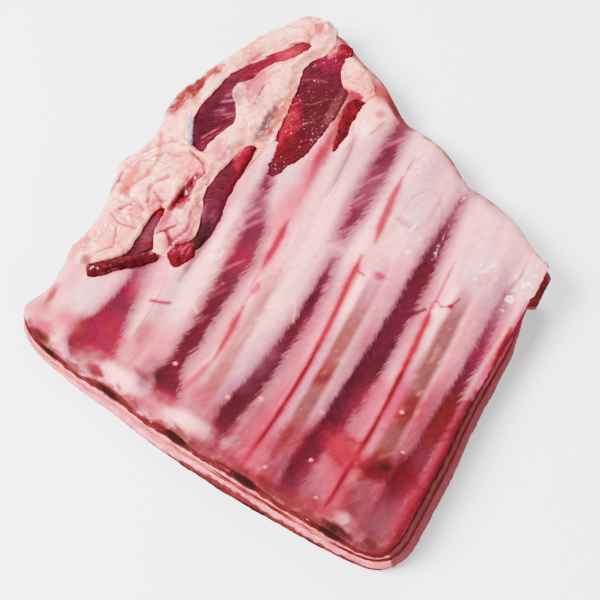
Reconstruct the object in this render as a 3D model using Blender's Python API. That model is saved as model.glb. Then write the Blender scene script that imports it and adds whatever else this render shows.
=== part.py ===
"""Lamb ribs: a piece of breast with five rib bones, lying fat side down, bone side up.

The ribs run along +Y and lie side by side along +X. A thick cap of fat is at the bottom, a thin layer
of lean above it, and the chest wall with the bones on top. At the back left a flap of fat and muscle
lies on the chest wall. Plan sizes are in millimetres from the plan's own zero, between ribs 3 and 4.
"""
import math

import bmesh
import bpy
from mathutils import Vector, noise

MM = 0.001
GAP = 0.3                       # between neighbouring solids, mm
PLAN_CENTRE = (-4.55, 16.2)     # middle of the outline's box in the plan, mm

# Outline of the piece. Each side is a smooth line through these points (along, across), mm.
LEFT_EDGE = [(-41, -75.6), (-37, -77), (-29, -73.4), (-17, -73.2), (-4, -70.9), (4, -70.9), (13, -72.9),
             (20, -74.2), (26, -71), (36, -68.4), (44, -69.9), (53, -68.4), (60, -64.9), (68, -60.9),
             (79, -55.9), (86, -51.6), (94, -45.4), (97.8, -38)]
RIGHT_EDGE = [(-61.5, 58.7), (-57, 60), (-48, 60.5), (-30, 61.4), (-11, 61.4), (4, 62.4), (25, 64.2),
              (42.8, 64.6)]
FRONT_EDGE = [(-75.6, -41), (-70, -44.8), (-61.5, -47), (-41, -50.4), (-20, -55.1), (0, -58.1), (20, -60.8),
              (40, -63.8), (49, -64.3), (55, -63.7), (58.7, -61.5)]
BACK_EDGE = [(-38, 97.8), (-30, 96), (-25, 92.9), (-20, 89.6), (-10, 84), (-5, 80.3), (1.5, 76),
             (9, 73), (19, 69.2), (29.5, 62.8), (42, 57.2), (50, 53.4), (60, 47), (64.6, 42.8)]

# The cut sides slope: how far each stands out at the table from its rim, at places along it, mm.
FRONT_SLOPE = [(-74, 0.6), (-60, 2.2), (-50, 3.4), (-20, 3.7), (6, 3.9), (24, 2.9), (44, 1.2), (52, 0.8),
               (59, -0.4)]
RIGHT_SLOPE = [(-62, 1.8), (-55, 3.6), (-36, 3.7), (-10, 3.3), (15, 2.1), (24, 0.2), (30, -1.5), (42, -1.5)]
LEFT_SLOPE = [(-41, 0.8), (-29, 0), (0, -1.5), (96, -1.5)]
BACK_SLOPE = [(-38, -1.5), (64, -1.5)]

# Height of the rib crests over the table, mm.
RIGHT_HEIGHT = 19.5
LEFT_FALL = 7.3                 # the piece thins out to the left
BACK_FALL = 5.0
FRONT_FALL = 1.5
CORNER_LIFT = 3.0               # the back right corner stands off the table
CORNER_REACH = 38.0
GROOVE_DEPTH = 2.8              # from a rib's crest to the muscle between two ribs
GROOVE_WIDTH = 6.0
RIM_ROUNDING = 1.3
RIM_REACH = 3.5
# Rolls of fat and swellings on the chest wall: x, y, half length, half width, height, mm.
SWELLINGS = [(-37, -47, 9, 3.2, 1.7), (-12, -52, 10, 3.6, 1.9), (16, -57, 7, 3, 0.9), (42, -60, 7, 3, 0.9),
             (-61, -28, 8, 12, 0.9), (-8, 66, 7, 11, 2.6), (22, 43, 7, 9, 0.8), (50, 34, 10, 11, 0.8),
             (-17, 81, 9, 8, 2.2)]

# Middle of the muscle between two ribs: across the ribs at six stations along them, mm.
STATIONS = (-60, -30, 0, 30, 60, 90)
GROOVES = {
    "first": (-53, -49.5, -48, -49, -50, -50),
    "second": (-27.5, -23.5, -22.5, -25.3, -27, -27),
    "third": (-5.5, 0.8, 4.2, 3, 3, 2),
    "fourth": (22.5, 27, 29, 31.3, 30, 30),
    "fifth": (52.5, 54.7, 56, 58.5, 58, 58),
}

# The flap covers the first two grooves from here on, mm.
GROOVE_ENDS = {"first": -12, "second": 36}
GROOVE_FADE = 6.0

# Rib bones: grooves on either side, shift across, half width, half height, end along the rib
# (None where the bone runs out through the back), mm.
RIBS = {
    "rib_1": ("first", "first", -13.0, 3.9, 1.8, 40),
    "rib_2": ("first", "second", -1.0, 4.3, 1.8, 80),
    "rib_3": ("second", "third", 1.8, 4.6, 2.6, None),
    "rib_4": ("third", "fourth", 2.5, 4.6, 2.6, None),
    "rib_5": ("fourth", "fifth", 3.3, 4.8, 2.7, None),
}
BONE_SIDES = 12
BONE_STEPS = 7
BONE_COVER = 0.8                # meat under each bone
BONE_RECESS = 0.6               # the bones' ends stand this far inside the cut sides
TUNNEL_RUN_OUT = 6.0            # the tunnels' cutters stand out of the front and back

# Lines between the pieces of the flap: (along, across), mm. Each piece keeps clear of its line.
OUTER_LINE = [(-18.5, -67), (-17, -64.6), (-14.5, -61.4), (-12, -58.6), (-10, -56.9), (-8, -56.4), (0, -56.2),
              (5, -55.9), (9.5, -54.5), (11, -51.2), (14, -48.9), (18, -49.6), (27, -49.9), (30, -50.3),
              (32, -51.6), (33.5, -54.4), (36, -55.6), (40, -57.5), (44, -58.8), (48, -58.9), (52, -58.2),
              (56, -57.2), (60, -56.4), (64, -54.5), (68, -52), (72, -49.5), (76, -46.5), (80, -43),
              (84, -39.8), (88, -38.8), (95.6, -38.6)]
INNER_LINE = [(-3, -49), (0, -50), (5, -50.4), (9.5, -50.6), (11, -50.2), (14, -48.5), (18, -49.2),
              (27, -49.5), (30, -49.8), (32, -50.6), (36, -50.8), (40, -49.8), (43, -48.3), (46, -47.3),
              (50, -48.3), (54, -50.8), (57, -53.2), (60, -53.2), (64, -51.8), (68, -49.8), (72, -47.3),
              (76, -43.2), (80, -40.2), (84, -38.6), (88, -38.4), (95.6, -38.2)]
SKIRT_LINE = [(-3, -43.9), (0, -42.6), (2, -40.2), (4, -38.7), (8, -38.8), (14, -41), (19, -43), (24, -43),
              (30, -42), (36, -40.3), (42, -38.4), (44.5, -34), (47, -31.9), (50, -32.3), (60, -33),
              (70, -34.2), (76, -35.3), (80, -34.3), (84, -31.4), (86, -30.8), (90, -30.4), (95.6, -33)]
MUSCLE_LEFT = [(36, -29.4), (38, -30), (42, -30.4), (47, -31.4), (50, -31.9), (60, -32.6), (70, -33.8),
               (76, -34.9), (80, -33.9), (84, -30.9), (86, -29.4), (88, -28.4), (91.5, -27.4)]
MUSCLE_RIGHT = [(36, -28), (38, -26), (40, -23.6), (42, -22), (45, -20.4), (52, -19.2), (60, -18.7),
                (68, -19.8), (72, -19.3), (74, -18.8), (76, -20.5), (79, -22.5), (82, -23.6), (85, -23.9),
                (88, -25.3), (91.5, -26.2)]

TAIL_LINE = [(-18.5, -67), (-17, -64.6), (-14.5, -61.4), (-12, -58.6), (-10, -56.7), (-9, -55.3), (-7, -53.6),
             (-5, -51.9), (-3, -50.6), (0, -50.5)]
GROOVE_RIGHT = [(-9, -55.3), (-7, -53.6), (-5, -51.9), (-3, -50.6), (0, -50.5), (5, -50.8), (9, -51.2)]
SKIRT_RIGHT = [(2, -36.3), (8, -34.8), (16, -35.3), (24, -36.3), (32, -36.3), (38, -36.4), (41.6, -37)]
LUMP_RIGHT = [(74.7, -11.8), (77, -10.8), (79, -11.4), (82, -13.4), (85, -17), (88, -21.4)]
SMALL_LEFT = [(51, -14), (56, -15.4), (60, -16.1), (64, -17), (68, -17.6), (72, -17.3), (74.3, -16)]
SMALL_RIGHT = [(51, -13), (56, -12), (60, -11.4), (64, -12), (72, -11.8), (74.3, -11.2)]
TIP_LEFT = [(-7, -41.4), (-5, -43), (-3, -43.3), (0, -42), (1.4, -40.4)]
TIP_RIGHT = [(-7, -39.4), (-4, -37.8), (-2, -36.8), (0, -36.8), (1.4, -37.4)]

FLAP_SEAT = 5.2                 # height of the flap's seat over the chest wall's underside
LUMP_SEAT = 6.8
TIP_SEAT = 5.8
# Pieces of the flap: first and last place along the ribs, left line, right line, height of the seat over
# the chest wall's underside and of the crown over the table, how full the section is (less is fuller), mm,
# and its columns.
LOBES = {
    "outer_fat": (-18, 96.5, LEFT_EDGE, OUTER_LINE, FLAP_SEAT, 19.4, 0.45, 8),
    "inner_fat": (-3, 96.5, INNER_LINE, SKIRT_LINE, FLAP_SEAT, 20.6, 0.5, 8),
    "valley_meat": (33.8, 83, OUTER_LINE, INNER_LINE, FLAP_SEAT, 16.2, 0.3, 4),
    "groove_meat": (-9, 9, OUTER_LINE, GROOVE_RIGHT, FLAP_SEAT, 15.6, 0.3, 4),
    "skirt_strip": (2.2, 41.6, SKIRT_LINE, SKIRT_RIGHT, FLAP_SEAT, 18.4, 0.4, 4),
    "flank_muscle": (36.3, 91.5, MUSCLE_LEFT, MUSCLE_RIGHT, FLAP_SEAT, 17.2, 0.22, 6),
    "fat_lump": (74.7, 87.8, MUSCLE_RIGHT, LUMP_RIGHT, LUMP_SEAT, 18.2, 0.4, 6),
    "small_meat": (51, 74.3, SMALL_LEFT, SMALL_RIGHT, LUMP_SEAT, 17.4, 0.3, 4),
    "meat_tip": (-7, 1.4, TIP_LEFT, TIP_RIGHT, TIP_SEAT, 17.0, 0.4, 4),
}
ROW_STEP = 3.0                  # rows of the flap's pieces, at the same places in all of them
END_STEP = 1.1                  # one more row this near each end
LOBE_EDGE = 0.34                # share of a piece's height that stands at its edge
LEFT_OVERHANG = 0.2             # the outer fat stands this far outside the outline

OPEN_SIDE = 4.0                 # a seat runs this far out through the left side
OVERLAP = 1.2                   # and this far into the seat beside it
FLAP_RIGHT = [(place, across + 1.5 * min(max((place - 46) / 5, 0), 1)) for place, across in SKIRT_LINE]
# Seats in the chest wall: first and last place along the ribs, left line, right line, height, how far
# the seat goes beyond each line. mm.
SEATS = {
    "left_seat": (-3, 96.5, LEFT_EDGE, FLAP_RIGHT, FLAP_SEAT, OPEN_SIDE + 1, GAP / 2),
    "tail_seat": (-18, -1, LEFT_EDGE, TAIL_LINE, FLAP_SEAT, OPEN_SIDE, GAP / 2),
    "skirt_seat": (2.2, 41.6, SKIRT_LINE, SKIRT_RIGHT, FLAP_SEAT, OVERLAP, GAP / 2),
    "muscle_seat": (36.3, 91.5, MUSCLE_LEFT, MUSCLE_RIGHT, FLAP_SEAT, GAP / 2, GAP / 2),
    "lump_seat": (74.7, 87.8, MUSCLE_RIGHT, LUMP_RIGHT, LUMP_SEAT, OVERLAP, GAP / 2),
    "small_seat": (51, 74.3, SMALL_LEFT, SMALL_RIGHT, LUMP_SEAT, GAP / 2, GAP / 2),
    "tip_seat": (-7, 1.4, TIP_LEFT, TIP_RIGHT, TIP_SEAT, OVERLAP, GAP / 2),
}
SEAT_TOP = 30.0
SEAT_COLUMNS = 6

# The cut end of the flap: a strip of meat along the flap's lower edge, mm.
CUT_STRIP_LINE = [(-64.4, -20.6), (-60, -17.6), (-55, -13.2), (-50, -9), (-47.2, -6.8)]
CUT_STRIP_WIDTH = 4.4
CUT_STRIP_SEAT = 6.1
CUT_STRIP_CROWN = 18.2

WALL_COLUMNS, WALL_ROWS, WALL_RINGS = 46, 26, 2
LAYER_COLUMNS, LAYER_ROWS, CAP_RINGS = 16, 13, 3
CAP_ROUNDING = 0.9              # the fat cap's lower rim stands this far off the table
CAP_REACH = 5.0
CAP_BULGE = 0.6
LEAN_TAB = (63, 37, 4.4, 7.0)   # the lean sticks out at the right corner: x, y, how far, reach, mm
RAGGED = 0.45                   # unevenness of the cut sides
LEAN_SHARE = (0.7, 0.05)        # thickness of the lean layer: constant and share of the height
WALL_SHARE = (5.0, 0.17)        # the same for the chest wall

COLOURS = {
    "fat": (0.80, 0.52, 0.46),
    "lean": (0.36, 0.05, 0.07),
    "membrane": (0.70, 0.40, 0.42),
    "muscle": (0.30, 0.03, 0.06),
    "bone": (0.35, 0.16, 0.14),
}

TISSUES = {
    "chest_wall": "membrane", "lean_layer": "lean", "fat_cap": "fat", "outer_fat": "fat", "inner_fat": "fat",
    "fat_lump": "fat", "valley_meat": "muscle", "groove_meat": "muscle", "skirt_strip": "muscle",
    "flank_muscle": "muscle", "small_meat": "lean", "meat_tip": "lean", "cut_strip": "lean",
}


def smooth(t):
    """Ease from 0 to 1, and stay there outside."""
    t = min(max(t, 0.0), 1.0)
    return t * t * (3 - 2 * t)


def line_at(points, place):
    """Value of the smooth line through (place, value) points."""
    last = len(points) - 1
    index = 0
    while index < last - 1 and place > points[index + 1][0]:
        index += 1
    (start, low), (end, high) = points[index], points[index + 1]
    span = end - start
    before = points[max(index - 1, 0)]
    after = points[min(index + 2, last)]
    slope_in = (high - before[1]) / (end - before[0])
    slope_out = (after[1] - low) / (after[0] - start)
    t = min(max((place - start) / span, 0.0), 1.0)
    rise = t * t * (3 - 2 * t)
    return (low + (high - low) * rise + span * slope_in * t * (1 - t) ** 2
            - span * slope_out * t * t * (1 - t))


def along(points, share):
    """Point of a side's line at a share of its way, as (place, value)."""
    place = points[0][0] + (points[-1][0] - points[0][0]) * share
    return place, line_at(points, place)


def plan(u, v):
    """Place in the plan for shares across (u) and along (v) the ribs: a patch between four sides."""
    front, back = Vector(along(FRONT_EDGE, u)), Vector(along(BACK_EDGE, u))
    left, right = Vector(along(LEFT_EDGE, v)[::-1]), Vector(along(RIGHT_EDGE, v)[::-1])
    corners = (Vector(along(FRONT_EDGE, 0)) * (1 - u) * (1 - v) + Vector(along(FRONT_EDGE, 1)) * u * (1 - v)
               + Vector(along(BACK_EDGE, 0)) * (1 - u) * v + Vector(along(BACK_EDGE, 1)) * u * v)
    return front * (1 - v) + back * v + left * (1 - u) + right * u - corners


PLAN_WIDTH = FRONT_EDGE[-1][0] - FRONT_EDGE[0][0]
PLAN_LENGTH = RIGHT_EDGE[-1][0] - RIGHT_EDGE[0][0]


def rim_distance(u, v):
    """About how far a place is from the nearest side, mm."""
    return min(u * PLAN_WIDTH, (1 - u) * PLAN_WIDTH, v * PLAN_LENGTH, (1 - v) * PLAN_LENGTH)


def lift(x, y):
    """How far the piece stands off the table near its back right corner."""
    corner = Vector((RIGHT_EDGE[-1][1], RIGHT_EDGE[-1][0]))
    return CORNER_LIFT * smooth(1 - (corner - Vector((x, y))).length / CORNER_REACH)


def height(x, y):
    """Height of the rib crests over the table, without grooves or swellings."""
    left_fall = LEFT_FALL * smooth((10 - x) / 85)
    back_fall = BACK_FALL * smooth((y - 20) / 60) * smooth((x + 60) / 40)
    front_fall = FRONT_FALL * smooth((-30 - y) / 35)
    return RIGHT_HEIGHT - left_fall - back_fall - front_fall


def groove_at(name, y):
    """Middle of a groove across the ribs at a place along them."""
    return line_at(list(zip(STATIONS, GROOVES[name])), y)


def wall_top(x, y):
    """Height of the chest wall's upper face: crests over the ribs, grooves between them."""
    top = height(x, y)
    for name in GROOVES:
        depth = GROOVE_DEPTH * (1 - smooth((y - GROOVE_ENDS.get(name, y)) / GROOVE_FADE))
        top -= depth * math.exp(-((x - groove_at(name, y)) / GROOVE_WIDTH) ** 2)
    for centre_x, centre_y, reach_x, reach_y, rise in SWELLINGS:
        top += rise * math.exp(-((x - centre_x) / reach_x) ** 2 - ((y - centre_y) / reach_y) ** 2)
    return top


def wall_bottom(x, y):
    crest = height(x, y)
    return crest - WALL_SHARE[0] - WALL_SHARE[1] * crest


def lean_bottom(x, y):
    return wall_bottom(x, y) - GAP - LEAN_SHARE[0] - LEAN_SHARE[1] * height(x, y)


def uneven(x, y, z, size=7.0):
    """Soft unevenness between -1 and 1, the same on every run."""
    return noise.noise(Vector((x, y, z)) / size)


def block(columns, rows, rings):
    """A unit cube of columns by rows faces, with its sides cut into rings."""
    bm = bmesh.new()
    bmesh.ops.create_grid(bm, x_segments=columns, y_segments=rows, size=0.5)
    bmesh.ops.translate(bm, verts=bm.verts[:], vec=(0.5, 0.5, 0))
    lifted = bmesh.ops.extrude_face_region(bm, geom=bm.faces[:])["geom"]
    top = [item for item in lifted if isinstance(item, bmesh.types.BMVert)]
    bmesh.ops.translate(bm, verts=top, vec=(0, 0, 1))
    if rings > 1:
        upright = [edge for edge in bm.edges if abs(edge.verts[0].co.z - edge.verts[1].co.z) > 0.5]
        bmesh.ops.subdivide_edges(bm, edges=upright, cuts=rings - 1)
    return bm


def thin_out_bottom(bm, columns):
    """Merge the hidden lower faces two by two."""
    inner = []
    for edge in bm.edges:
        first, second = edge.verts[0].co, edge.verts[1].co
        flat = max(first.z, second.z) < 0.01 and abs(first.x - second.x) < 0.001
        column = round(first.x * columns)
        if flat and column % 2 == 1:
            inner.append(edge)
    bmesh.ops.dissolve_edges(bm, edges=inner, use_verts=True)


def finish_object(name, bm, place, collection):
    """Move the block's points by a rule in plan millimetres, and make an object of it in metres."""
    bmesh.ops.recalc_face_normals(bm, faces=bm.faces[:])
    for vert in bm.verts:
        vert.co = place(*vert.co)
    bmesh.ops.translate(bm, verts=bm.verts[:], vec=(-PLAN_CENTRE[0], -PLAN_CENTRE[1], 0))
    bmesh.ops.scale(bm, verts=bm.verts[:], vec=(MM, MM, MM))
    mesh = bpy.data.meshes.new(name)
    bm.to_mesh(mesh)
    bm.free()
    mesh.shade_smooth()
    mesh.set_sharp_from_angle(angle=math.radians(50))
    item = bpy.data.objects.new(name, mesh)
    collection.objects.link(item)
    return item


def crowd(t):
    """Bring the grid's lines closer together at both sides."""
    return 0.55 * t + 0.45 * (0.5 - 0.5 * math.cos(math.pi * t))


def spread(x, y, z, u=0.5, v=0.5):
    """How far the slope of the cut sides moves a place outwards, at a height over the table."""
    share = 1 - z / height(x, y)
    across = line_at(RIGHT_SLOPE, y) * u - line_at(LEFT_SLOPE, y) * (1 - u)
    forth = line_at(BACK_SLOPE, x) * v - line_at(FRONT_SLOPE, x) * (1 - v)
    return across * share, forth * share


def layer_place(bottom, top, rounding=0.0, tab=None):
    """Rule that turns the unit cube into a layer of the piece between two surfaces."""
    middle = Vector(plan(0.5, 0.5))

    def place(u, v, w):
        u, v = crowd(u), crowd(v)
        edge = rim_distance(u, v)
        x, y = plan(u, v)
        z = bottom(x, y, edge) * (1 - w) + top(x, y, edge) * w
        across, forth = spread(x, y, z, u, v)
        x, y = x + across, y + forth
        if edge < 0.01:
            x += RAGGED * uneven(x, y, 9 * w)
            y += RAGGED * uneven(y + 40, x, 9 * w)
            outward = (Vector((x, y)) - middle).normalized() * rounding * math.sin(math.pi * w)
            x, y = x + outward.x, y + outward.y
        if tab is not None:
            x += tab(x, y)
        low, high = bottom(x, y, edge), top(x, y, edge)
        return Vector((x, y, low + (high - low) * w + lift(x, y)))
    return place


def rim_drop(edge):
    return RIM_ROUNDING * max(0.0, 1 - edge / RIM_REACH) ** 2


def make_chest_wall(collection):
    """The upper layer: membrane and meat over and between the ribs."""
    bm = block(WALL_COLUMNS, WALL_ROWS, WALL_RINGS)
    thin_out_bottom(bm, WALL_COLUMNS)
    place = layer_place(
        bottom=lambda x, y, edge: wall_bottom(x, y),
        top=lambda x, y, edge: wall_top(x, y) - rim_drop(edge))
    return finish_object("chest_wall", bm, place, collection)


def make_lean_layer(collection):
    """The thin dark layer of lean between the chest wall and the fat."""
    place = layer_place(
        bottom=lambda x, y, edge: lean_bottom(x, y),
        top=lambda x, y, edge: wall_bottom(x, y) - GAP,
        tab=lambda x, y: LEAN_TAB[2] * math.exp(-math.hypot(x - LEAN_TAB[0], y - LEAN_TAB[1]) ** 4
                                                / LEAN_TAB[3] ** 4))
    return finish_object("lean_layer", block(LAYER_COLUMNS, LAYER_ROWS, 1), place, collection)


def make_fat_cap(collection):
    """The thick fat on the outside of the ribs, which the piece rests on."""
    place = layer_place(
        bottom=lambda x, y, edge: CAP_ROUNDING * max(0.0, 1 - edge / CAP_REACH) ** 2,
        top=lambda x, y, edge: lean_bottom(x, y) - GAP,
        rounding=CAP_BULGE)
    return finish_object("fat_cap", block(LAYER_COLUMNS, LAYER_ROWS, CAP_RINGS), place, collection)


def bone_centre(rib, y):
    """Middle of a rib bone across the ribs."""
    left, right, shift = RIBS[rib][:3]
    return (groove_at(left, y) + groove_at(right, y)) / 2 + shift


def bone_place(rib, swell=0.0):
    """Rule that turns a unit tube into a rib bone, or into a wider one."""
    half_width, half_height, end = RIBS[rib][3:]

    def place(cosine, sine, share):
        middle = bone_centre(rib, 0)
        for _ in range(2):
            front = line_at(FRONT_EDGE, middle)
            back = end if end is not None else line_at(BACK_EDGE, middle)
            centre_y = front + (back - front) * share
            middle = bone_centre(rib, centre_y)
        x = middle - (half_width + swell) * cosine
        z = wall_bottom(middle, centre_y) + BONE_COVER + half_height + (half_height + swell) * sine
        front = line_at(FRONT_EDGE, x) + spread(x, centre_y, z, v=0)[1] + BONE_RECESS
        back = line_at(BACK_EDGE, x) + spread(x, centre_y, z, v=1)[1] - BONE_RECESS
        back = end if end is not None else back
        return Vector((x, front + (back - front) * share, z + lift(middle, centre_y)))
    return place


def tunnel_place(rib):
    """Rule that turns a unit tube into a bone's tunnel: a gap wider, and run out at its open ends."""
    bone = bone_place(rib, GAP)
    closed = RIBS[rib][5] is not None

    def place(cosine, sine, share):
        spot = bone(cosine, sine, share)
        if 0.001 < share < 0.999:
            return spot
        inward = 1 / BONE_STEPS if share < 0.5 else 1 - 1 / BONE_STEPS
        way = (spot - bone(cosine, sine, inward)).normalized()
        return spot + way * (GAP if closed and share > 0.5 else TUNNEL_RUN_OUT)
    return place


def make_tube(name, place, collection):
    """A closed tube along a rib, moved into place by a rule."""
    bm = bmesh.new()
    bmesh.ops.create_cone(bm, cap_ends=True, segments=BONE_SIDES, radius1=1, radius2=1, depth=1)
    bmesh.ops.translate(bm, verts=bm.verts[:], vec=(0, 0, 0.5))
    upright = [edge for edge in bm.edges if abs(edge.verts[0].co.z - edge.verts[1].co.z) > 0.5]
    bmesh.ops.subdivide_edges(bm, edges=upright, cuts=BONE_STEPS - 1)
    return finish_object(name, bm, place, collection)


def rows_between(first, last):
    """Places of a piece's rows: its ends, a row near each end, and the common ones between."""
    common = range(math.floor(first / ROW_STEP) + 1, math.ceil(last / ROW_STEP))
    rows = [ROW_STEP * index for index in common]
    for near in (first + END_STEP, last - END_STEP):
        if min(abs(near - row) for row in rows) > 0.4:
            rows.append(near)
    return sorted([first, *rows, last])


def border_at(points, y):
    """A line of the flap, straight between the common rows so that neighbours match."""
    low = ROW_STEP * math.floor(y / ROW_STEP)
    share = (y - low) / ROW_STEP
    return line_at(points, low) * (1 - share) + line_at(points, low + ROW_STEP) * share


def lobe_place(name, rows):
    """Rule that turns the unit cube into a piece of the flap."""
    first, last, left_line, right_line, seat, crown, fullness = LOBES[name][:7]

    def place(u, v, w):
        y = rows[round(v * (len(rows) - 1))]
        left = border_at(left_line, y) + (-LEFT_OVERHANG if left_line is LEFT_EDGE else GAP / 2)
        right = border_at(right_line, y) - GAP / 2
        x = left + (right - left) * u
        low = wall_bottom(x, y) + seat + GAP
        if w < 0.5:
            return Vector((x, y, low))
        ends = 2 * (y - first) / (last - first) - 1
        domed = (1 - abs(2 * u - 1) ** 2.2) * (1 - abs(ends) ** 8)
        share = LOBE_EDGE + (1 - LOBE_EDGE) * domed ** fullness
        return Vector((x, y, low + (crown - low) * share + 0.7 * uneven(x, y, 31.0, 9.0) * domed))
    return place


def seat_place(name, rows):
    """Rule that turns the unit cube into the cutter for a seat."""
    left_line, right_line, seat, left_grow, right_grow = SEATS[name][2:]

    def place(u, v, w):
        y = rows[round(v * (len(rows) - 1))]
        left = border_at(left_line, y) - left_grow
        right = border_at(right_line, y) + right_grow
        x = left + (right - left) * u
        end = GAP * (int(v > 0.999) - int(v < 0.001))
        return Vector((x, y + end, SEAT_TOP if w > 0.5 else wall_bottom(x, y) + seat))
    return place


def strip_place(grow):
    """Rule that turns the unit cube into the cut strip, or into its seat if it grows by a gap."""
    start, end = Vector(CUT_STRIP_LINE[0]), Vector(CUT_STRIP_LINE[-1])
    slope = (end - start).normalized()
    across = Vector((slope.y, -slope.x))
    seat = CUT_STRIP_SEAT + (0.0 if grow else GAP)

    def place(u, v, w):
        x = start.x + (end.x - start.x) * v + grow * (2 * v - 1)
        y = line_at(CUT_STRIP_LINE, min(max(x, start.x), end.x))
        narrow = 1 - 0.45 * abs(2 * v - 1) ** 6
        half = CUT_STRIP_WIDTH / 2 * narrow + grow
        inward = OVERLAP if grow and u < 0.5 else 0.0
        spot = Vector((x, y)) + across * (half * (2 * u - 1) - inward)
        low = wall_bottom(x, y) + seat
        if grow or w < 0.5:
            return Vector((*spot, SEAT_TOP if w > 0.5 else low))
        share = 0.5 + 0.5 * ((1 - abs(2 * u - 1) ** 2.5) * narrow) ** 0.5
        return Vector((*spot, low + (CUT_STRIP_CROWN - low) * share + 0.5 * uneven(x, y, 57.0, 4.0)))
    return place


def make_flap(collection, seats):
    """The pieces of the flap, and the cutters for their seats in the chest wall."""
    made = []
    for name in SEATS:
        rows = rows_between(*SEATS[name][:2])
        columns = SEAT_COLUMNS if SEATS[name][2] is LEFT_EDGE else 2
        finish_object(name, block(columns, len(rows) - 1, 1), seat_place(name, rows), seats)
    for name in LOBES:
        rows = rows_between(*LOBES[name][:2])
        bm = block(LOBES[name][7], len(rows) - 1, 1)
        thin_out_bottom(bm, LOBES[name][7])
        made.append(finish_object(name, bm, lobe_place(name, rows), collection))
    finish_object("strip_seat", block(1, 10, 1), strip_place(GAP), seats)
    made.append(finish_object("cut_strip", block(4, 10, 1), strip_place(0.0), collection))
    return made


def material(name):
    """A plain material of the tissue's colour."""
    made = bpy.data.materials.new(name)
    made.use_nodes = True
    shader = made.node_tree.nodes["Principled BSDF"]
    shader.inputs["Base Color"].default_value = (*COLOURS[name], 1)
    shader.inputs["Roughness"].default_value = 0.35
    shader.inputs["Metallic"].default_value = 0.0
    return made


def new_collection(name):
    made = bpy.data.collections.new(name)
    bpy.context.scene.collection.children.link(made)
    return made


def cut_by(item, cutters):
    """Take every cutter of a collection out of an object."""
    for cutter in cutters.objects:
        cutter.hide_render = True
        cutter.display_type = "WIRE"
        cut = item.modifiers.new("cut " + cutter.name, "BOOLEAN")
        cut.operation = "DIFFERENCE"
        cut.solver = "MANIFOLD"
        cut.object = cutter


def main():
    for item in list(bpy.data.objects):
        bpy.data.objects.remove(item)
    ribs = new_collection("lamb_ribs")
    seats = new_collection("seat_cutters")
    tunnels = new_collection("tunnel_cutters")

    made = [make_fat_cap(ribs), make_lean_layer(ribs)]
    wall = make_chest_wall(ribs)
    made.append(wall)
    made += make_flap(ribs, seats)
    for rib in RIBS:
        made.append(make_tube(rib, bone_place(rib), ribs))
        make_tube("tunnel_of_" + rib, tunnel_place(rib), tunnels)
    cut_by(wall, seats)
    cut_by(wall, tunnels)

    tissues = {name: material(name) for name in COLOURS}
    for item in made:
        item.data.materials.append(tissues[TISSUES.get(item.name, "bone")])


main()
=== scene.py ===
"""Looks of the lamb ribs: the membrane with its dark muscle bands and vessels, the flap of fat and muscle,
the cut sides and the cap of fat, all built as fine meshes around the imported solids.

Plan sizes are in millimetres, as in the solids' own source: x across the ribs, y along them, z up.
Colours are laid on point by point from named strokes; the materials add fibres, mottling and gloss.
"""
import math

import bpy
import numpy as np
from bpy.props import FloatProperty, FloatVectorProperty, PointerProperty
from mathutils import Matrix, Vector


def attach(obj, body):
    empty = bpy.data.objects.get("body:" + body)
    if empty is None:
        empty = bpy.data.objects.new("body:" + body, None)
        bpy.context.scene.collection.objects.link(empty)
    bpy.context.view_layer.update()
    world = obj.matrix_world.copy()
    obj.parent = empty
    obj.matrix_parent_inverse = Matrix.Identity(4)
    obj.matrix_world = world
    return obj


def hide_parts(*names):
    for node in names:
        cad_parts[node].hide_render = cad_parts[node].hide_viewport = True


bl_info = {
    "name": "Lamb ribs",
    "version": (1, 0, 0),
    "blender": (4, 5, 0),
    "location": "3D View > Sidebar > Lamb ribs",
    "description": "Builds the looks of a piece of lamb ribs on its solids",
    "category": "Add Mesh",
}

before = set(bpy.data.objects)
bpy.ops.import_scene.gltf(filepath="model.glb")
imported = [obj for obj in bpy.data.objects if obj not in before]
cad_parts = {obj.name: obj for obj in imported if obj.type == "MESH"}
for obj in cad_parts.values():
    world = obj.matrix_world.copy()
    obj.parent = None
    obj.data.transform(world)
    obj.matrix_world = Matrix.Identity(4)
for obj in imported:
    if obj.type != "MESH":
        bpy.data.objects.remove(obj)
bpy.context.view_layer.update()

MM = 0.001
PLAN_CENTRE = (-4.55, 16.2)
# Gap between neighbours, how far a piece's low side stands out, and the top limit of the flap, mm.
GAP, RIM_OUT, HIGHEST = 0.3, 0.15, 21.4
# How far the flap's pieces are sunk into their seats, and a depth that counts as outside, mm.
SINK, OUTSIDE = 0.2, -9.0
# The share of a layer's height above which its face begins, and a share that counts as none.
TOP_SHARE, TINY = 0.999, 1e-6

# The viewpoint, in plan millimetres, the level on which the strokes' places are read, and the lens.
EYE = np.array((105.69, -216.7, 509.33))
READING_LEVEL = 18.0
LENS = 106.45

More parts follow.
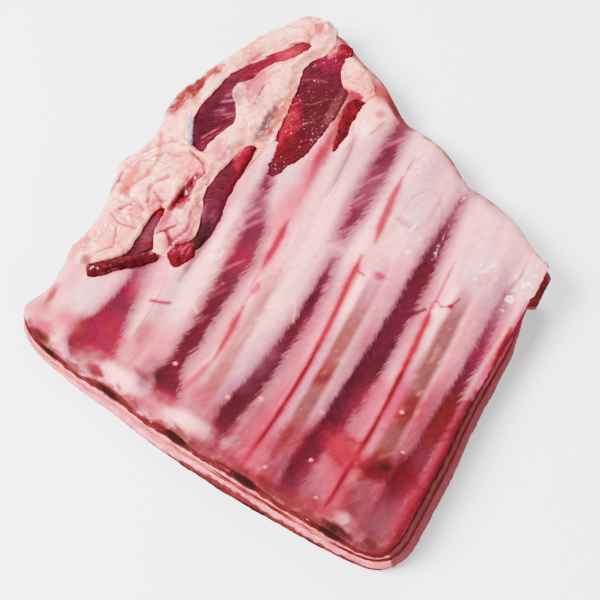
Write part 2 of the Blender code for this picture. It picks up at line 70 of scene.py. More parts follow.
# ---- Form of the piece, as in the solids -------------------------------------------------------------
LEFT_EDGE = [(-41, -75.6), (-37, -77), (-29, -73.4), (-17, -73.2), (-4, -70.9), (4, -70.9), (13, -72.9),
             (20, -74.2), (26, -71), (36, -68.4), (44, -69.9), (53, -68.4), (60, -64.9), (68, -60.9),
             (79, -55.9), (86, -51.6), (94, -45.4), (97.8, -38)]
RIGHT_EDGE = [(-61.5, 58.7), (-57, 60), (-48, 60.5), (-30, 61.4), (-11, 61.4), (4, 62.4), (25, 64.2),
              (42.8, 64.6)]
FRONT_EDGE = [(-75.6, -41), (-70, -44.8), (-61.5, -47), (-41, -50.4), (-20, -55.1), (0, -58.1), (20, -60.8),
              (40, -63.8), (49, -64.3), (55, -63.7), (58.7, -61.5)]
BACK_EDGE = [(-38, 97.8), (-30, 96), (-25, 92.9), (-20, 89.6), (-10, 84), (-5, 80.3), (1.5, 76),
             (9, 73), (19, 69.2), (29.5, 62.8), (42, 57.2), (50, 53.4), (60, 47), (64.6, 42.8)]
FRONT_SLOPE = [(-74, 0.6), (-60, 2.2), (-50, 3.4), (-20, 3.7), (6, 3.9), (24, 2.9), (44, 1.2), (52, 0.8),
               (59, -0.4)]
RIGHT_SLOPE = [(-62, 1.8), (-55, 3.6), (-36, 3.7), (-10, 3.3), (15, 2.1), (24, 0.2), (30, -1.5), (42, -1.5)]
LEFT_SLOPE = [(-41, 0.8), (-29, 0), (0, -1.5), (96, -1.5)]
BACK_SLOPE = [(-38, -1.5), (64, -1.5)]
RIGHT_HEIGHT, LEFT_FALL, BACK_FALL, FRONT_FALL = 19.5, 7.3, 5.0, 1.5
CORNER_LIFT, CORNER_REACH = 3.0, 38.0
GROOVE_DEPTH, GROOVE_WIDTH, GROOVE_FADE = 2.8, 6.0, 6.0
RIM_ROUNDING, RIM_REACH = 1.3, 3.5
SWELLINGS = [(-37, -47, 9, 3.2, 1.7), (-12, -52, 10, 3.6, 1.9), (16, -57, 7, 3, 0.9), (42, -60, 7, 3, 0.9),
             (-61, -28, 8, 12, 0.9), (-8, 66, 7, 11, 2.6), (22, 43, 7, 9, 0.8), (50, 34, 10, 11, 0.8),
             (-17, 81, 9, 8, 2.2)]
STATIONS = (-60, -30, 0, 30, 60, 90)
GROOVES = {
    "first": (-53, -49.5, -48, -49, -50, -50),
    "second": (-27.5, -23.5, -22.5, -25.3, -27, -27),
    "third": (-5.5, 0.8, 4.2, 3, 3, 2),
    "fourth": (22.5, 27, 29, 31.3, 30, 30),
    "fifth": (52.5, 54.7, 56, 58.5, 58, 58),
}
GROOVE_ENDS = {"first": -12, "second": 36}
RIBS = {
    "rib_1": ("first", "first", -13.0, 3.9, 1.8, 40),
    "rib_2": ("first", "second", -1.0, 4.3, 1.8, 80),
    "rib_3": ("second", "third", 1.8, 4.6, 2.6, None),
    "rib_4": ("third", "fourth", 2.5, 4.6, 2.6, None),
    "rib_5": ("fourth", "fifth", 3.3, 4.8, 2.7, None),
}
# Membrane over the bones, and how far their sawn ends lie behind the cut sides, mm.
BONE_COVER, END_RECESS = 0.8, 0.25
LEAN_SHARE, WALL_SHARE = (0.7, 0.05), (5.0, 0.17)
CAP_ROUNDING, CAP_REACH = 0.9, 5.0
# Where the slab at the back right corner begins and ends, and how far its two layers stand out, mm.
TAB_FRONT, TAB_BACK = 29.4, 45.2
MEMBRANE_TAB, LEAN_TAB = 0.9, 3.0

OUTER_LINE = [(-18.5, -67), (-17, -64.6), (-14.5, -61.4), (-12, -58.6), (-10, -56.9), (-8, -56.4), (0, -56.2),
              (5, -55.9), (9.5, -54.5), (11, -51.2), (14, -48.9), (18, -49.6), (27, -49.9), (30, -50.3),
              (32, -51.6), (33.5, -54.4), (36, -55.6), (40, -57.5), (44, -58.8), (48, -58.9), (52, -58.2),
              (56, -57.2), (60, -56.4), (64, -54.5), (68, -52), (72, -49.5), (76, -46.5), (80, -43),
              (84, -39.8), (88, -38.8), (95.6, -38.6)]
INNER_LINE = [(-3, -49), (0, -50), (5, -50.4), (9.5, -50.6), (11, -50.2), (14, -48.5), (18, -49.2),
              (27, -49.5), (30, -49.8), (32, -50.6), (36, -50.8), (40, -49.8), (43, -48.3), (46, -47.3),
              (50, -48.3), (54, -50.8), (57, -53.2), (60, -53.2), (64, -51.8), (68, -49.8), (72, -47.3),
              (76, -43.2), (80, -40.2), (84, -38.6), (88, -38.4), (95.6, -38.2)]
SKIRT_LINE = [(-3, -43.9), (0, -42.6), (2, -40.2), (4, -38.7), (8, -38.8), (14, -41), (19, -43), (24, -43),
              (30, -42), (36, -40.3), (42, -38.4), (44.5, -34), (47, -31.9), (50, -32.3), (60, -33),
              (70, -34.2), (76, -35.3), (80, -34.3), (84, -31.4), (86, -30.8), (90, -30.4), (95.6, -33)]
MUSCLE_LEFT = [(36, -29.4), (38, -30), (42, -30.4), (47, -31.4), (50, -31.9), (60, -32.6), (70, -33.8),
               (76, -34.9), (80, -33.9), (84, -30.9), (86, -29.4), (88, -28.4), (91.5, -27.4)]
MUSCLE_RIGHT = [(36, -28), (38, -26), (40, -23.6), (42, -22), (45, -20.4), (52, -19.2), (60, -18.7),
                (68, -19.8), (72, -19.3), (74, -18.8), (76, -20.5), (79, -22.5), (82, -23.6), (85, -23.9),
                (88, -25.3), (91.5, -26.2)]
GROOVE_RIGHT = [(-9, -55.3), (-7, -53.6), (-5, -51.9), (-3, -50.6), (0, -50.5), (5, -50.8), (9, -51.2)]
SKIRT_RIGHT = [(2, -36.3), (8, -34.8), (16, -35.3), (24, -36.3), (32, -36.3), (38, -36.4), (41.6, -37)]
LUMP_RIGHT = [(74.7, -11.8), (77, -10.8), (79, -11.4), (82, -13.4), (85, -17), (88, -21.4)]
SMALL_LEFT = [(51, -14), (56, -15.4), (60, -16.1), (64, -17), (68, -17.6), (72, -17.3), (74.3, -16)]
SMALL_RIGHT = [(51, -13), (56, -12), (60, -11.4), (64, -12), (72, -11.8), (74.3, -11.2)]
TIP_LEFT = [(-7, -41.4), (-5, -43), (-3, -43.3), (0, -42), (1.4, -40.4)]
TIP_RIGHT = [(-7, -39.4), (-4, -37.8), (-2, -36.8), (0, -36.8), (1.4, -37.4)]
CUT_STRIP_LINE = [(-65, -20), (-60.5, -16.6), (-55.5, -12), (-50.5, -8), (-46.8, -5.6)]
CUT_STRIP_WIDTH, CUT_STRIP_CROWN = 4.4, 17.0
FLAP_SEAT, LUMP_SEAT, TIP_SEAT, CUT_STRIP_SEAT = 5.2, 6.8, 5.8, 6.1

# Pieces of the flap: first and last place along the ribs, left line, right line, height of the seat over the
# chest wall's underside, how full the section is, the shares of the crown's height kept at the left, right,
# front and back (0 is an open side that falls to the seat), the crown's height over the table, and how far
# the piece reaches past its lines at the left, right, front and back, mm.
LOBES = {
    "outer_fat": (-18, 96.5, LEFT_EDGE, OUTER_LINE, FLAP_SEAT, 0.45, (0, 0.82, 0, 0), 19.6,
                  (0.45, 0.6, 0.45, 1.4)),
    "inner_fat": (-3, 96.5, INNER_LINE, SKIRT_LINE, FLAP_SEAT, 0.5, (0.84, 0.7, 0.35, 0), 20.4,
                  (0.6, 0.5, 1.6, 1.6)),
    "valley_meat": (33.8, 83, OUTER_LINE, INNER_LINE, FLAP_SEAT, 0.3, (0.96, 0.96, 0.9, 0.96), 17.2,
                    (1.6, 1.8, 0.8, 2.5)),
    "groove_meat": (-9, 9, OUTER_LINE, GROOVE_RIGHT, FLAP_SEAT, 0.3, (0.96, 0.9, 0.6, 0.9), 15.6,
                    (1.2, 1.2, 2.6, 2)),
    "skirt_strip": (2.2, 41.6, SKIRT_LINE, SKIRT_RIGHT, FLAP_SEAT, 0.4, (0.95, 0, 0.5, 0.9), 17.0,
                    (1.8, 0.5, 2.5, 2.0)),
    "flank_muscle": (36.3, 91.5, MUSCLE_LEFT, MUSCLE_RIGHT, FLAP_SEAT, 0.22, (0.97, 0.93, 0.5, 0), 16.4,
                     (1.6, 1.1, 0.1, 1.2)),
    "fat_lump": (74.7, 87.8, MUSCLE_RIGHT, LUMP_RIGHT, LUMP_SEAT, 0.4, (0.8, 0, 0.7, 0), 18.4,
                 (0.9, 0.6, 0.9, 0.6)),
    "small_meat": (51, 74.3, SMALL_LEFT, SMALL_RIGHT, LUMP_SEAT, 0.3, (0.6, 0.6, 0.6, 0.8), 16.2,
                   (1, 1, 1.5, 1)),
    "meat_tip": (-7, 1.4, TIP_LEFT, TIP_RIGHT, TIP_SEAT, 0.4, (0.9, 0, 0, 0.9), 16.8, (0.8, 0.5, 0.5, 3.5)),
}
# Ground that the flap covers: first and last place, left line, right line, and the seat's height.
COVERED = [(-3, 96.5, LEFT_EDGE, SKIRT_LINE, FLAP_SEAT), (-18, -1, LEFT_EDGE, OUTER_LINE, FLAP_SEAT)]
COVERED += [LOBES[name][:5] for name in ("skirt_strip", "flank_muscle", "fat_lump", "small_meat", "meat_tip")]

# ---- Colours of the tissues, 0 to 255 -----------------------------------------------------------------
TINTS = {
    "white": (247, 152, 150), "pearl": (194, 138, 146), "membrane": (226, 126, 131), "rose": (178, 77, 93),
    "lavender": (149, 85, 107), "pink": (156, 42, 73), "flush": (133, 23, 53), "dusty": (112, 53, 60),
    "dusk": (77, 38, 48), "tan": (97, 43, 44), "olive": (84, 41, 40), "mauve": (87, 43, 48),
    "red brown": (74, 22, 24), "brown": (51, 16, 16), "black brown": (29, 13, 13),
    "dark red": (60, 13, 16), "red": (89, 13, 24), "bright red": (107, 13, 31), "crimson": (85, 13, 33),
    "maroon": (55, 14, 23), "ink": (48, 13, 20), "plum": (65, 19, 32), "fat": (247, 158, 132),
    "cream": (247, 182, 140), "fat pink": (214, 100, 93), "cut fat": (188, 81, 80),
    "fat shade": (149, 68, 67), "orange": (147, 52, 35), "orange red": (104, 21, 21),
    "bluish": (156, 129, 170), "stain": (66, 22, 22), "lilac": (88, 36, 52),
}
# Tints that the settings hold.
CHOSEN = {"white": "white_colour", "rose": "rose_colour", "ink": "band_colour", "bright red": "vessel_colour",
          "fat": "fat_colour", "maroon": "muscle_colour", "red brown": "meat_colour",
          "black brown": "marrow_colour"}
SPECK_COLOUR = (0.66, 0.26, 0.3, 1)
# Dark muscle between the ribs: rows of (place along, left, right, colour).
BANDS = {
    "a": [(-50, -53, -46, "plum"), (-45, -57, -42.4, "crimson"), (-39, -57.6, -42.6, "crimson"),
          (-33, -54.4, -43.4, "crimson"), (-27, -52.6, -44.2, "plum"), (-21, -51.4, -44.8, "crimson"),
          (-14, -51, -45.6, "lilac"), (-7, -51.4, -46.2, "plum")],
    "b": [(-51, -26.5, -17, "crimson"), (-44, -28, -18.4, "maroon"), (-38, -27, -21, "maroon"),
          (-28, -26, -20, "maroon"), (-20, -25.6, -19.8, "maroon"), (-10, -26, -19.2, "maroon"),
          (-3, -26.8, -18.8, "plum"), (5, -27.8, -18.2, "crimson"), (12, -27.8, -19.4, "plum"),
          (16, -27.8, -19.8, "plum"), (21, -28, -22, "lilac"), (26, -28.2, -24.6, "lilac"),
          (30, -28.6, -25.6, "plum"), (34.5, -28.8, -26.6, "plum")],
    "c": [(-56, -4.6, -0.2, "plum"), (-50, -5.2, 0.8, "maroon"), (-44, -5.2, 2, "ink"),
          (-38, -4, 3.4, "ink"), (-28, -2, 4.6, "ink"), (-20, -0.6, 5.4, "maroon"), (-8, 1.2, 6.6, "maroon"),
          (2, 2, 6.4, "ink"), (10, 2.2, 5.8, "plum"), (17, 2.4, 4.8, "lilac")],
    "c back": [(23, 1.2, 4.4, "lilac"), (32, 0.4, 5.6, "plum"), (44, -0.2, 6.4, "lilac"),
               (58, 0.2, 6.2, "plum"), (72, 1.2, 5.2, "lilac")],
    "d": [(-61, 20.6, 27, "plum"), (-54, 20.6, 28.4, "maroon"), (-47, 21, 29, "maroon"),
          (-40, 22, 30, "ink"), (-33, 23.2, 31.4, "ink"), (-22, 24.2, 33.2, "ink"), (-8, 25.4, 33.8, "ink"),
          (5, 26.6, 34.2, "maroon"), (18, 27.2, 34.4, "maroon"), (28, 28, 34, "maroon"),
          (38, 28.6, 33.4, "plum"), (46, 29.4, 32.8, "lilac"), (54, 30, 32.4, "lilac")],
    "e": [(-61, 48.6, 56, "dusk"), (-53, 49, 57, "dusk"), (-46, 49.2, 57.2, "maroon"),
          (-39, 50, 58, "dark red"), (-32, 51.6, 58.4, "plum"), (-24, 52.4, 59, "dark red"),
          (-14, 53, 59.4, "dark red"), (-4, 54, 58.8, "maroon"), (8, 54.8, 59.4, "plum"),
          (20, 55, 58.8, "lilac"), (31, 56, 58, "lilac")],
}
# Bands whose edges feather one way only.
ONE_WAY = ("b", "c back")
# Strips along the ribs: softness of the edges, then rows of (place, left, right, colour, strength).
STRIPS = [
    (2.2, [(-58, -21, -14, "flush", 0.5), (-40, -21.5, -16.5, "rose", 0.5), (-12, -19, -15.6, "pink", 0.4),
           (20, -21, -16, "rose", 0.8), (50, -20, -15, "rose", 0.5)]),
    (1.6, [(-49, -14.6, -9, "lavender", 0.9), (-43, -14, -9, "mauve", 0.6), (-38, -12.6, -7.4, "tan", 0.8),
           (-20, -12.4, -7.4, "tan", 0.55), (-4, -12, -7.6, "tan", 0.6), (6, -12, -8, "rose", 0.5)]),
    (2, [(-48, -9, -4, "dusty", 0.7), (-34, -7.4, -2.6, "lavender", 0.8), (-20, -7, -2, "white", 0.8),
         (10, -7, -0.4, "white", 0.9), (40, -8, -2, "white", 0.8), (60, -8, -2, "lavender", 0.4)]),
    (1.6, [(-44, -38.5, -34, "mauve", 0.35), (-20, -38, -34, "mauve", 0.5),
           (0, -37.5, -33.5, "lavender", 0.7), (20, -35, -32, "rose", 0.4)]),
    (1.6, [(-40, -33, -28.6, "rose", 0.6), (-18, -34, -29, "white", 0.9), (18, -33.6, -29.4, "white", 0.9),
           (30, -33, -29.6, "rose", 0.5)]),
    (1.3, [(-60, 2, 8, "dusk", 0.5), (-48, 2.6, 9, "dusty", 0.9), (-36, 4, 9.4, "dusty", 0.95),
           (-20, 5.6, 10, "dusty", 0.8), (-6, 6.2, 10.4, "rose", 0.8), (8, 6.6, 11, "lavender", 0.7),
           (20, 6, 10.6, "white", 0.7), (60, 7, 10, "white", 0.7)]),
    (1.2, [(-61, 14, 19.6, "mauve", 0.9), (-53, 14.4, 20, "mauve", 1), (-48, 14.6, 20.2, "tan", 0.9),
           (-43, 15, 20.4, "red brown", 0.95), (-38, 15, 20.6, "tan", 1), (-31, 15.2, 20.6, "mauve", 1),
           (-26, 15.4, 20.6, "tan", 1), (-22, 15.5, 20.8, "red brown", 1),
           (-18.5, 15.8, 21, "red brown", 0.9), (-15, 15.8, 21, "tan", 1), (-2, 16, 21.2, "tan", 0.95),
           (6, 16.4, 21.4, "mauve", 0.7), (14, 16.8, 21.4, "lavender", 0.8), (24, 17, 21.4, "rose", 0.4)]),
    (0.8, [(-58, 11.8, 14, "flush", 0.5), (-44, 12.6, 14.8, "lavender", 0.8),
           (-10, 13.4, 15.8, "lavender", 0.9), (4, 13.4, 16, "white", 0.9), (16, 13.4, 16, "white", 0.9)]),
    (0.9, [(-56, 20.4, 22.4, "red", 0.3), (-44, 20.4, 23, "pink", 1), (-36, 21, 23.4, "rose", 0.9),
           (-10, 21.4, 24.4, "lavender", 0.9), (14, 21.8, 24.6, "rose", 0.7), (26, 22, 25, "rose", 0.5)]),
    (1.4, [(-60, 29, 35.6, "dusty", 0.9), (-47, 30.4, 36.6, "rose", 0.7), (-40, 31.6, 37, "flush", 0.8),
           (-30, 32, 37.2, "dusty", 0.6), (-16, 33, 37.6, "rose", 0.7), (-4, 33.8, 37.8, "rose", 0.7),
           (10, 34.4, 37.8, "rose", 0.9), (24, 35, 38, "rose", 0.5)]),
    (0.8, [(-58, 39, 41, "rose", 0.8), (-44, 39.6, 41.4, "pink", 0.7), (-28, 40, 42, "lavender", 0.9),
           (-8, 40.4, 42.8, "lavender", 1), (10, 40.6, 43.2, "white", 0.9), (24, 40.8, 43.4, "white", 0.9)]),
    (1.3, [(-60, 41, 46.6, "tan", 0.6), (-56, 41, 46.8, "red brown", 0.9), (-52.5, 41, 47, "tan", 0.9),
           (-49, 41.2, 47, "mauve", 1), (-45.5, 41.4, 47.4, "red brown", 0.95),
           (-41, 41.8, 48.4, "dark red", 1), (-37, 42, 48.4, "red brown", 1), (-32, 42, 48, "olive", 1),
           (-28, 42, 48, "olive", 1), (-23, 42, 48.2, "red brown", 1), (-17, 42.2, 48.2, "red brown", 1),
           (-12, 42.4, 48.2, "olive", 1), (0, 42.8, 48.4, "olive", 0.95), (12, 43, 48.4, "mauve", 0.95),
           (22, 43.4, 48.6, "mauve", 0.6), (32, 43.4, 48.6, "lavender", 0.5)]),
    (1.1, [(-61, 46.6, 49.6, "flush", 0.8), (-50, 47.4, 51, "flush", 0.95),
           (-34, 48.2, 51.6, "bright red", 0.6), (-16, 48.6, 52.6, "flush", 1), (-10, 49, 53.2, "pink", 1),
           (0, 49.4, 54, "rose", 0.95), (12, 49.4, 54.6, "rose", 0.9), (26, 49.6, 54, "lavender", 0.7)]),
    (0.6, [(-62, 56.4, 60, "dark red", 0.9), (-45, 57.6, 61.6, "dark red", 1),
           (-30, 58.6, 62.2, "dark red", 1), (-16, 59.4, 62.6, "dark red", 0.95),
           (-8, 61, 62.2, "lavender", 0.8), (0, 61.4, 62.8, "pink", 0.9), (6, 61.6, 64.2, "bright red", 1),
           (18, 61.8, 64.4, "bright red", 1), (24, 62.4, 64.6, "pink", 0.7)]),
]
# Vessels and fine lines: half width, colour, strength, points.
VESSELS = [
    (1.15, "bright red", 0.95, [(-15, 22), (-14.6, 12), (-14.8, 3)]),
    (0.5, "pink", 0.7, [(-14.8, 4), (-15, -2), (-14.2, -8), (-14, -12)]),
    (1, "bright red", 0.9, [(-14, -11), (-13.8, -20), (-14, -30)]),
    (1.2, "flush", 0.8, [(-14.2, -31), (-16, -38), (-18, -44)]),
    (0.25, "tan", 0.6, [(-39.4, -12), (-39.2, -24), (-39.6, -37)]),
    (1.2, "bright red", 0.8, [(11, 52), (11.2, 45), (11.8, 36), (13, 27)]),
    (0.5, "flush", 0.7, [(11.4, 62), (11.2, 52)]),
    (0.95, "bright red", 1, [(11.2, 21), (11.6, 10), (12.2, 0), (12.4, -8), (12.5, -20), (12, -30),
        (11.1, -40), (9.8, -49), (9.4, -54), (8.6, -59)]),
    (0.38, "dark red", 0.95, [(12.5, -12), (12.5, -20), (12, -30), (11, -42), (9.8, -52)]),
    (0.4, "flush", 0.7, [(10.6, -20), (9.6, -32), (8.2, -46), (7, -54)]),
    (0.4, "bright red", 0.8, [(11.4, 15.6), (14.6, 15)]),
    (0.5, "flush", 0.8, [(38.2, 32), (38.4, 20), (38.6, 12)]),
    (1, "bright red", 1, [(38.4, 14), (38.9, 0), (39.2, -18), (38.8, -33), (37.6, -43), (37.2, -54),
        (36, -61)]),
    (0.4, "dark red", 0.95, [(39.1, -6), (39, -30), (37.8, -42), (37.3, -52), (36.6, -58)]),
    (0.25, "dark red", 0.7, [(37.6, 13.6), (37.8, 16), (39, 16.8), (40.6, 15.6)]),
    (0.3, "dark red", 0.8, [(40.6, 15.6), (43, 16.6), (44.6, 20.4)]),
    (0.5, "bright red", 0.95, [(-40.4, -21.6), (-37.6, -21), (-35, -19.8)]),
    (0.6, "maroon", 0.8, [(30.6, 7), (33.6, 9), (36.6, 12.6)]),
    (0.3, "dusk", 0.8, [(57.6, 32), (58.6, 36), (58.4, 41)]),
    (0.3, "white", 0.8, [(-7, -8), (-3, -4), (0, -3), (2, -9)]),
    # The white line from (-32, -15.5) to (-26, -19) is a painted highlight along a glossy edge of the
    # membrane.
    (0.4, "white", 0.9, [(-32, -15.5), (-29, -16.6), (-26, -19)]),
    (0.3, "tan", 0.3, [(15.6, 33), (15.8, 38), (17, 47), (20, 52), (24, 51), (28, 45), (29, 40)]),
    (0.35, "rose", 0.6, [(63.2, -8), (62.9, -18), (62.3, -34), (61, -60)]),
    (0.5, "pearl", 0.5, [(63.4, 30), (62.3, 20), (60.9, 10), (59.8, 0), (59.6, -9)]),
    (1, "red", 0.9, [(62.9, 18), (63.3, 11), (62.7, 4)]), (0.6, "flush", 0.8, [(63.6, 29), (63.8, 20)]),
    (0.5, "dark red", 0.6, [(63.2, 14), (63.3, 8)]),
    (0.4, "red brown", 0.6, [(-33, 43), (-34.6, 36), (-36, 28)]),
    (0.45, "tan", 0.7, [(-9, 60), (-8, 52), (-7.6, 42), (-8, 35)]),
    (0.4, "tan", 0.6, [(-12, 64), (-9.4, 58), (-10, 50)]), (0.3, "red brown", 0.6, [(-3, 68), (-5, 62)]),
    # A painted shadow on the membrane beside the skirt strip.
    (0.9, "dusk", 0.7, [(-35.4, 18), (-35, 8), (-35.4, -2), (-36, -12)]),
]
# Spots: middle, half sizes, turn in degrees, softness, colour, strength.
SPOTS = [
    (10, -26, 3, 26, 4, 0.9, "pink", 0.5), (9.4, -48, 3, 10, 8, 0.9, "flush", 0.6),
    (33.5, -41, 5, 8, 0, 1, "red", 0.35), (33.6, -46, 4, 5, 0, 1, "flush", 0.5),
    (34, -26, 4, 8, 0, 0.9, "flush", 0.6), (35.6, -18, 2, 4, 0, 0.8, "flush", 0.5),
    (54, -22, 5, 10, 0, 0.9, "red brown", 0.45), (53, -41, 6, 5, 20, 0.8, "dark red", 0.55),
    (45, -41, 4.6, 4, 0, 0.6, "dark red", 0.7), (47, -39.4, 2.2, 2.1, 0, 0.35, "brown", 0.9),
    (47.2, -39.8, 1.3, 1.1, 0, 0.35, "black brown", 0.9), (43.3, 17, 1.1, 0.9, 0, 0.4, "bright red", 0.9),
    (49, 30, 2.2, 3, 0, 0.3, "orange", 0.45), (19, 37.5, 3, 1.2, -8, 0.8, "flush", 0.8),
    (19.4, 17, 1.9, 1.3, 0, 0.6, "flush", 1), (19, 57, 3.5, 9, 0, 0.9, "lavender", 0.6),
    (54, 30, 3, 8, 0, 0.9, "lavender", 0.6), (21.6, -43, 1.8, 6, 0, 0.7, "red", 0.55),
    (57, 5, 2, 5, 0, 0.7, "crimson", 0.4), (-26.6, -43.4, 2.4, 3.6, 0, 0.5, "brown", 0.9),
    (-26.8, -44.4, 1.2, 2, 0, 0.4, "black brown", 0.7), (-2.5, -20, 3.5, 11, 0, 0.9, "lavender", 0.55),
    (-60.5, -27.5, 4.6, 7.5, 0, 0.6, "pearl", 0.85), (-56, -41, 2.2, 4.5, 20, 0.9, "stain", 0.55),
    (-37.5, -32, 2, 4, 0, 0.7, "tan", 0.7), (-69, -38.5, 3, 2.2, 0, 0.5, "tan", 0.6),
    (-68, -40, 6, 5, 0, 0.7, "rose", 0.6), (-69, -33.5, 1.2, 3.6, 0, 0.6, "red", 0.7),
    (-66, -44, 4.2, 2.4, -10, 0.6, "flush", 0.8), (-66.5, -47, 5.4, 1.8, -8, 0.5, "brown", 0.9),
    (-66.5, -47.2, 2.6, 1.1, -8, 0.4, "black brown", 0.8), (-39, -48, 11, 3, -6, 0.8, "white", 0.85),
    # The flush lines at (-39, -44.2) and (-13, -48.4) are painted shade in the creases behind the front rolls
    # of fat.
    (-14, -52.2, 10, 3, -8, 0.8, "white", 0.85), (-39, -44.2, 9, 1.2, -4, 1.2, "flush", 0.5),
    (-13, -48.4, 8, 1.2, -8, 1.2, "flush", 0.5), (-28, -47.4, 2, 3, 0, 0.5, "lavender", 0.8),
    (-31.6, -44.6, 3, 0.9, -20, 0.5, "red", 0.6), (-45, -49.4, 3, 1.6, -10, 0.5, "crimson", 0.9),
    (-15.5, 38, 2.6, 14, 4, 0.8, "pink", 0.6), (-15.6, 44, 1.3, 9, 6, 0.8, "bright red", 0.7),
    (-18.4, 64, 1.4, 9, 0, 0.7, "bright red", 0.6), (-17, 28, 3, 10, 0, 0.8, "flush", 0.4),
    (43, -60, 2.8, 2, 0, 0.4, "mauve", 0.95), (42.6, -59, 2.5, 1.7, 0, 0.7, "membrane", 0.85),
    (42, -63.2, 5.4, 1.5, -8, 0.4, "black brown", 0.95), (53, -64, 3.4, 1.4, 0, 0.6, "brown", 0.8),
    (0, 74, 7, 1.8, -32, 0.6, "red brown", 0.8), (-9, 78, 5, 3.2, -34, 0.6, "orange red", 0.75),
    (-2, 74.6, 6, 1.5, -36, 0.5, "stain", 0.8), (-8, 66, 4, 8, 0, 0.6, "fat", 0.8),
    (-5.5, 70.5, 1.6, 1.5, 0, 0.5, "flush", 0.6), (-8.4, 50, 1.2, 9, 0, 0.7, "mauve", 0.4),
    (31, 60.6, 11, 2.4, -28, 0.9, "tan", 0.6), (-22, 36, 3.6, 3.6, 0, 0.6, "lavender", 0.8),
    (53, -61, 3.4, 2.6, 0, 0.6, "mauve", 0.8), (60, 33, 3, 5, 0, 0.8, "white", 0.6),
    (25, -59.6, 8, 2.2, -4, 0.8, "red", 0.5), (0, -56.6, 10, 2.2, -6, 0.8, "crimson", 0.5),
    (-30.6, -42, 2.4, 5, 0, 0.7, "dusk", 0.6), (-33, -34, 5, 8, 0, 0.9, "pink", 0.5),
    (-13, -43, 6, 3, -20, 0.7, "flush", 0.6), (57, -50, 3, 10, 0, 0.9, "flush", 0.5),
    (-33.6, 26, 3, 8, 0, 0.8, "pink", 0.25), (-35.4, 23, 1.4, 5, 0, 0.7, "flush", 0.3),
    (-28, 2, 2, 14, 0, 0.8, "white", 0.6), (-60, -12, 8, 6, 0, 0.8, "lavender", 0.6),
    (-45, -14, 3, 7, 0, 0.8, "rose", 0.5), (-35, -16, 3, 9, 0, 0.9, "pearl", 0.6),
    (20, 44, 4.5, 11, 0, 0.9, "pearl", 0.6), (45, 34, 5, 9, 0, 0.9, "pearl", 0.6),
    (-4, 2, 3, 14, 0, 0.9, "pearl", 0.5), (-12, 44, 2.4, 9, 0, 0.9, "pearl", 0.5),
    (33, -40.6, 4.6, 2.6, 8, 0.7, "bright red", 0.85), (34, -41.2, 3, 1.4, 8, 0.6, "red", 0.6),
    (-13.4, -3.8, 1.2, 2.4, 0, 0.5, "flush", 0.8), (-14.6, -3.2, 0.7, 1.4, 0, 0.4, "fat pink", 0.8),
    (-15.2, 55, 1.8, 13, 3, 0.7, "bright red", 0.8), (-15.2, 70, 2.8, 8, 0, 0.6, "red", 0.8),
    (-48, -34, 4, 5, 30, 0.8, "crimson", 0.5), (33, -53, 5, 8, 0, 0.9, "pink", 0.6),
    (35, -50, 3, 8, 0, 0.9, "flush", 0.4), (12, -52, 6, 8, 0, 0.9, "flush", 0.4),
    (31, -55, 4, 5, 0, 0.8, "dusk", 0.5), (48, -52, 3, 8, 0, 0.9, "pink", 0.5),
    (20, -60, 9, 1.6, -8, 0.6, "stain", 0.6), (-4, -57, 5, 1.2, -8, 0.6, "stain", 0.5),
    (34, -41, 3.6, 2.2, 8, 0.6, "red", 0.7), (53.4, -62.6, 2.6, 1.4, -20, 0.5, "brown", 0.8),
    (41.4, -21, 2.2, 10, 0, 0.8, "flush", 0.8), (24.6, -4, 1.2, 5, 0, 0.9, "flush", 0.5),
    # The spot at (-35, 9) is painted shadow beside the skirt strip.
    (-35, 9, 2, 9, 0, 0.9, "stain", 0.4), (-26, -53, 5, 2, -8, 0.8, "flush", 0.5),
    (-59.5, -39, 4, 3, 0, 0.9, "rose", 0.7), (-40, -39, 4, 4, 0, 0.9, "flush", 0.4),
    (45, -53, 3, 6, 0, 0.8, "dusk", 0.5), (40.4, -55, 2.6, 6, 0, 0.8, "red", 0.5),
    (-31.4, 34, 2, 9, 0, 0.8, "pearl", 0.7), (-34.6, 36, 2.2, 9, 0, 0.8, "fat pink", 0.6),
    (-22.6, 36.6, 3.4, 3.6, 40, 0.7, "pearl", 0.8), (59.8, 9.6, 0.8, 0.9, 0, 0.5, "dark red", 0.9),
    (61, 36, 2.6, 6, 0, 0.8, "pearl", 0.6), (61.4, -3, 1.6, 9, 0, 0.9, "flush", 0.6),
    (60, 9, 1.4, 5, 0, 0.9, "flush", 0.5), (35, -46.5, 3, 4, 0, 0.8, "red", 0.4),
    (50, -53, 8, 5, 0, 0.9, "stain", 0.45), (-60, -38.5, 3.4, 3.4, 0, 0.9, "flush", 0.5),
    (-55.5, -39.5, 2.6, 4, 0, 0.8, "dark red", 0.5), (-66, -25, 2, 6, 0, 0.9, "rose", 0.5),
    (-25, -52.6, 4, 2.4, -8, 0.9, "flush", 0.5), (33, -59, 6, 3, -6, 0.9, "stain", 0.4),
    (60.4, 13, 1.4, 8, 0, 0.9, "pink", 0.6), (59.6, -19, 2.2, 6, 0, 0.8, "dark red", 0.7),
    (16, -46, 2.4, 5, 0, 0.8, "red brown", 0.45), (-30, -46, 2, 2.4, 0, 0.8, "dusk", 0.5),
    (35, -59.5, 3, 1.8, -6, 0.8, "red", 0.6),
]
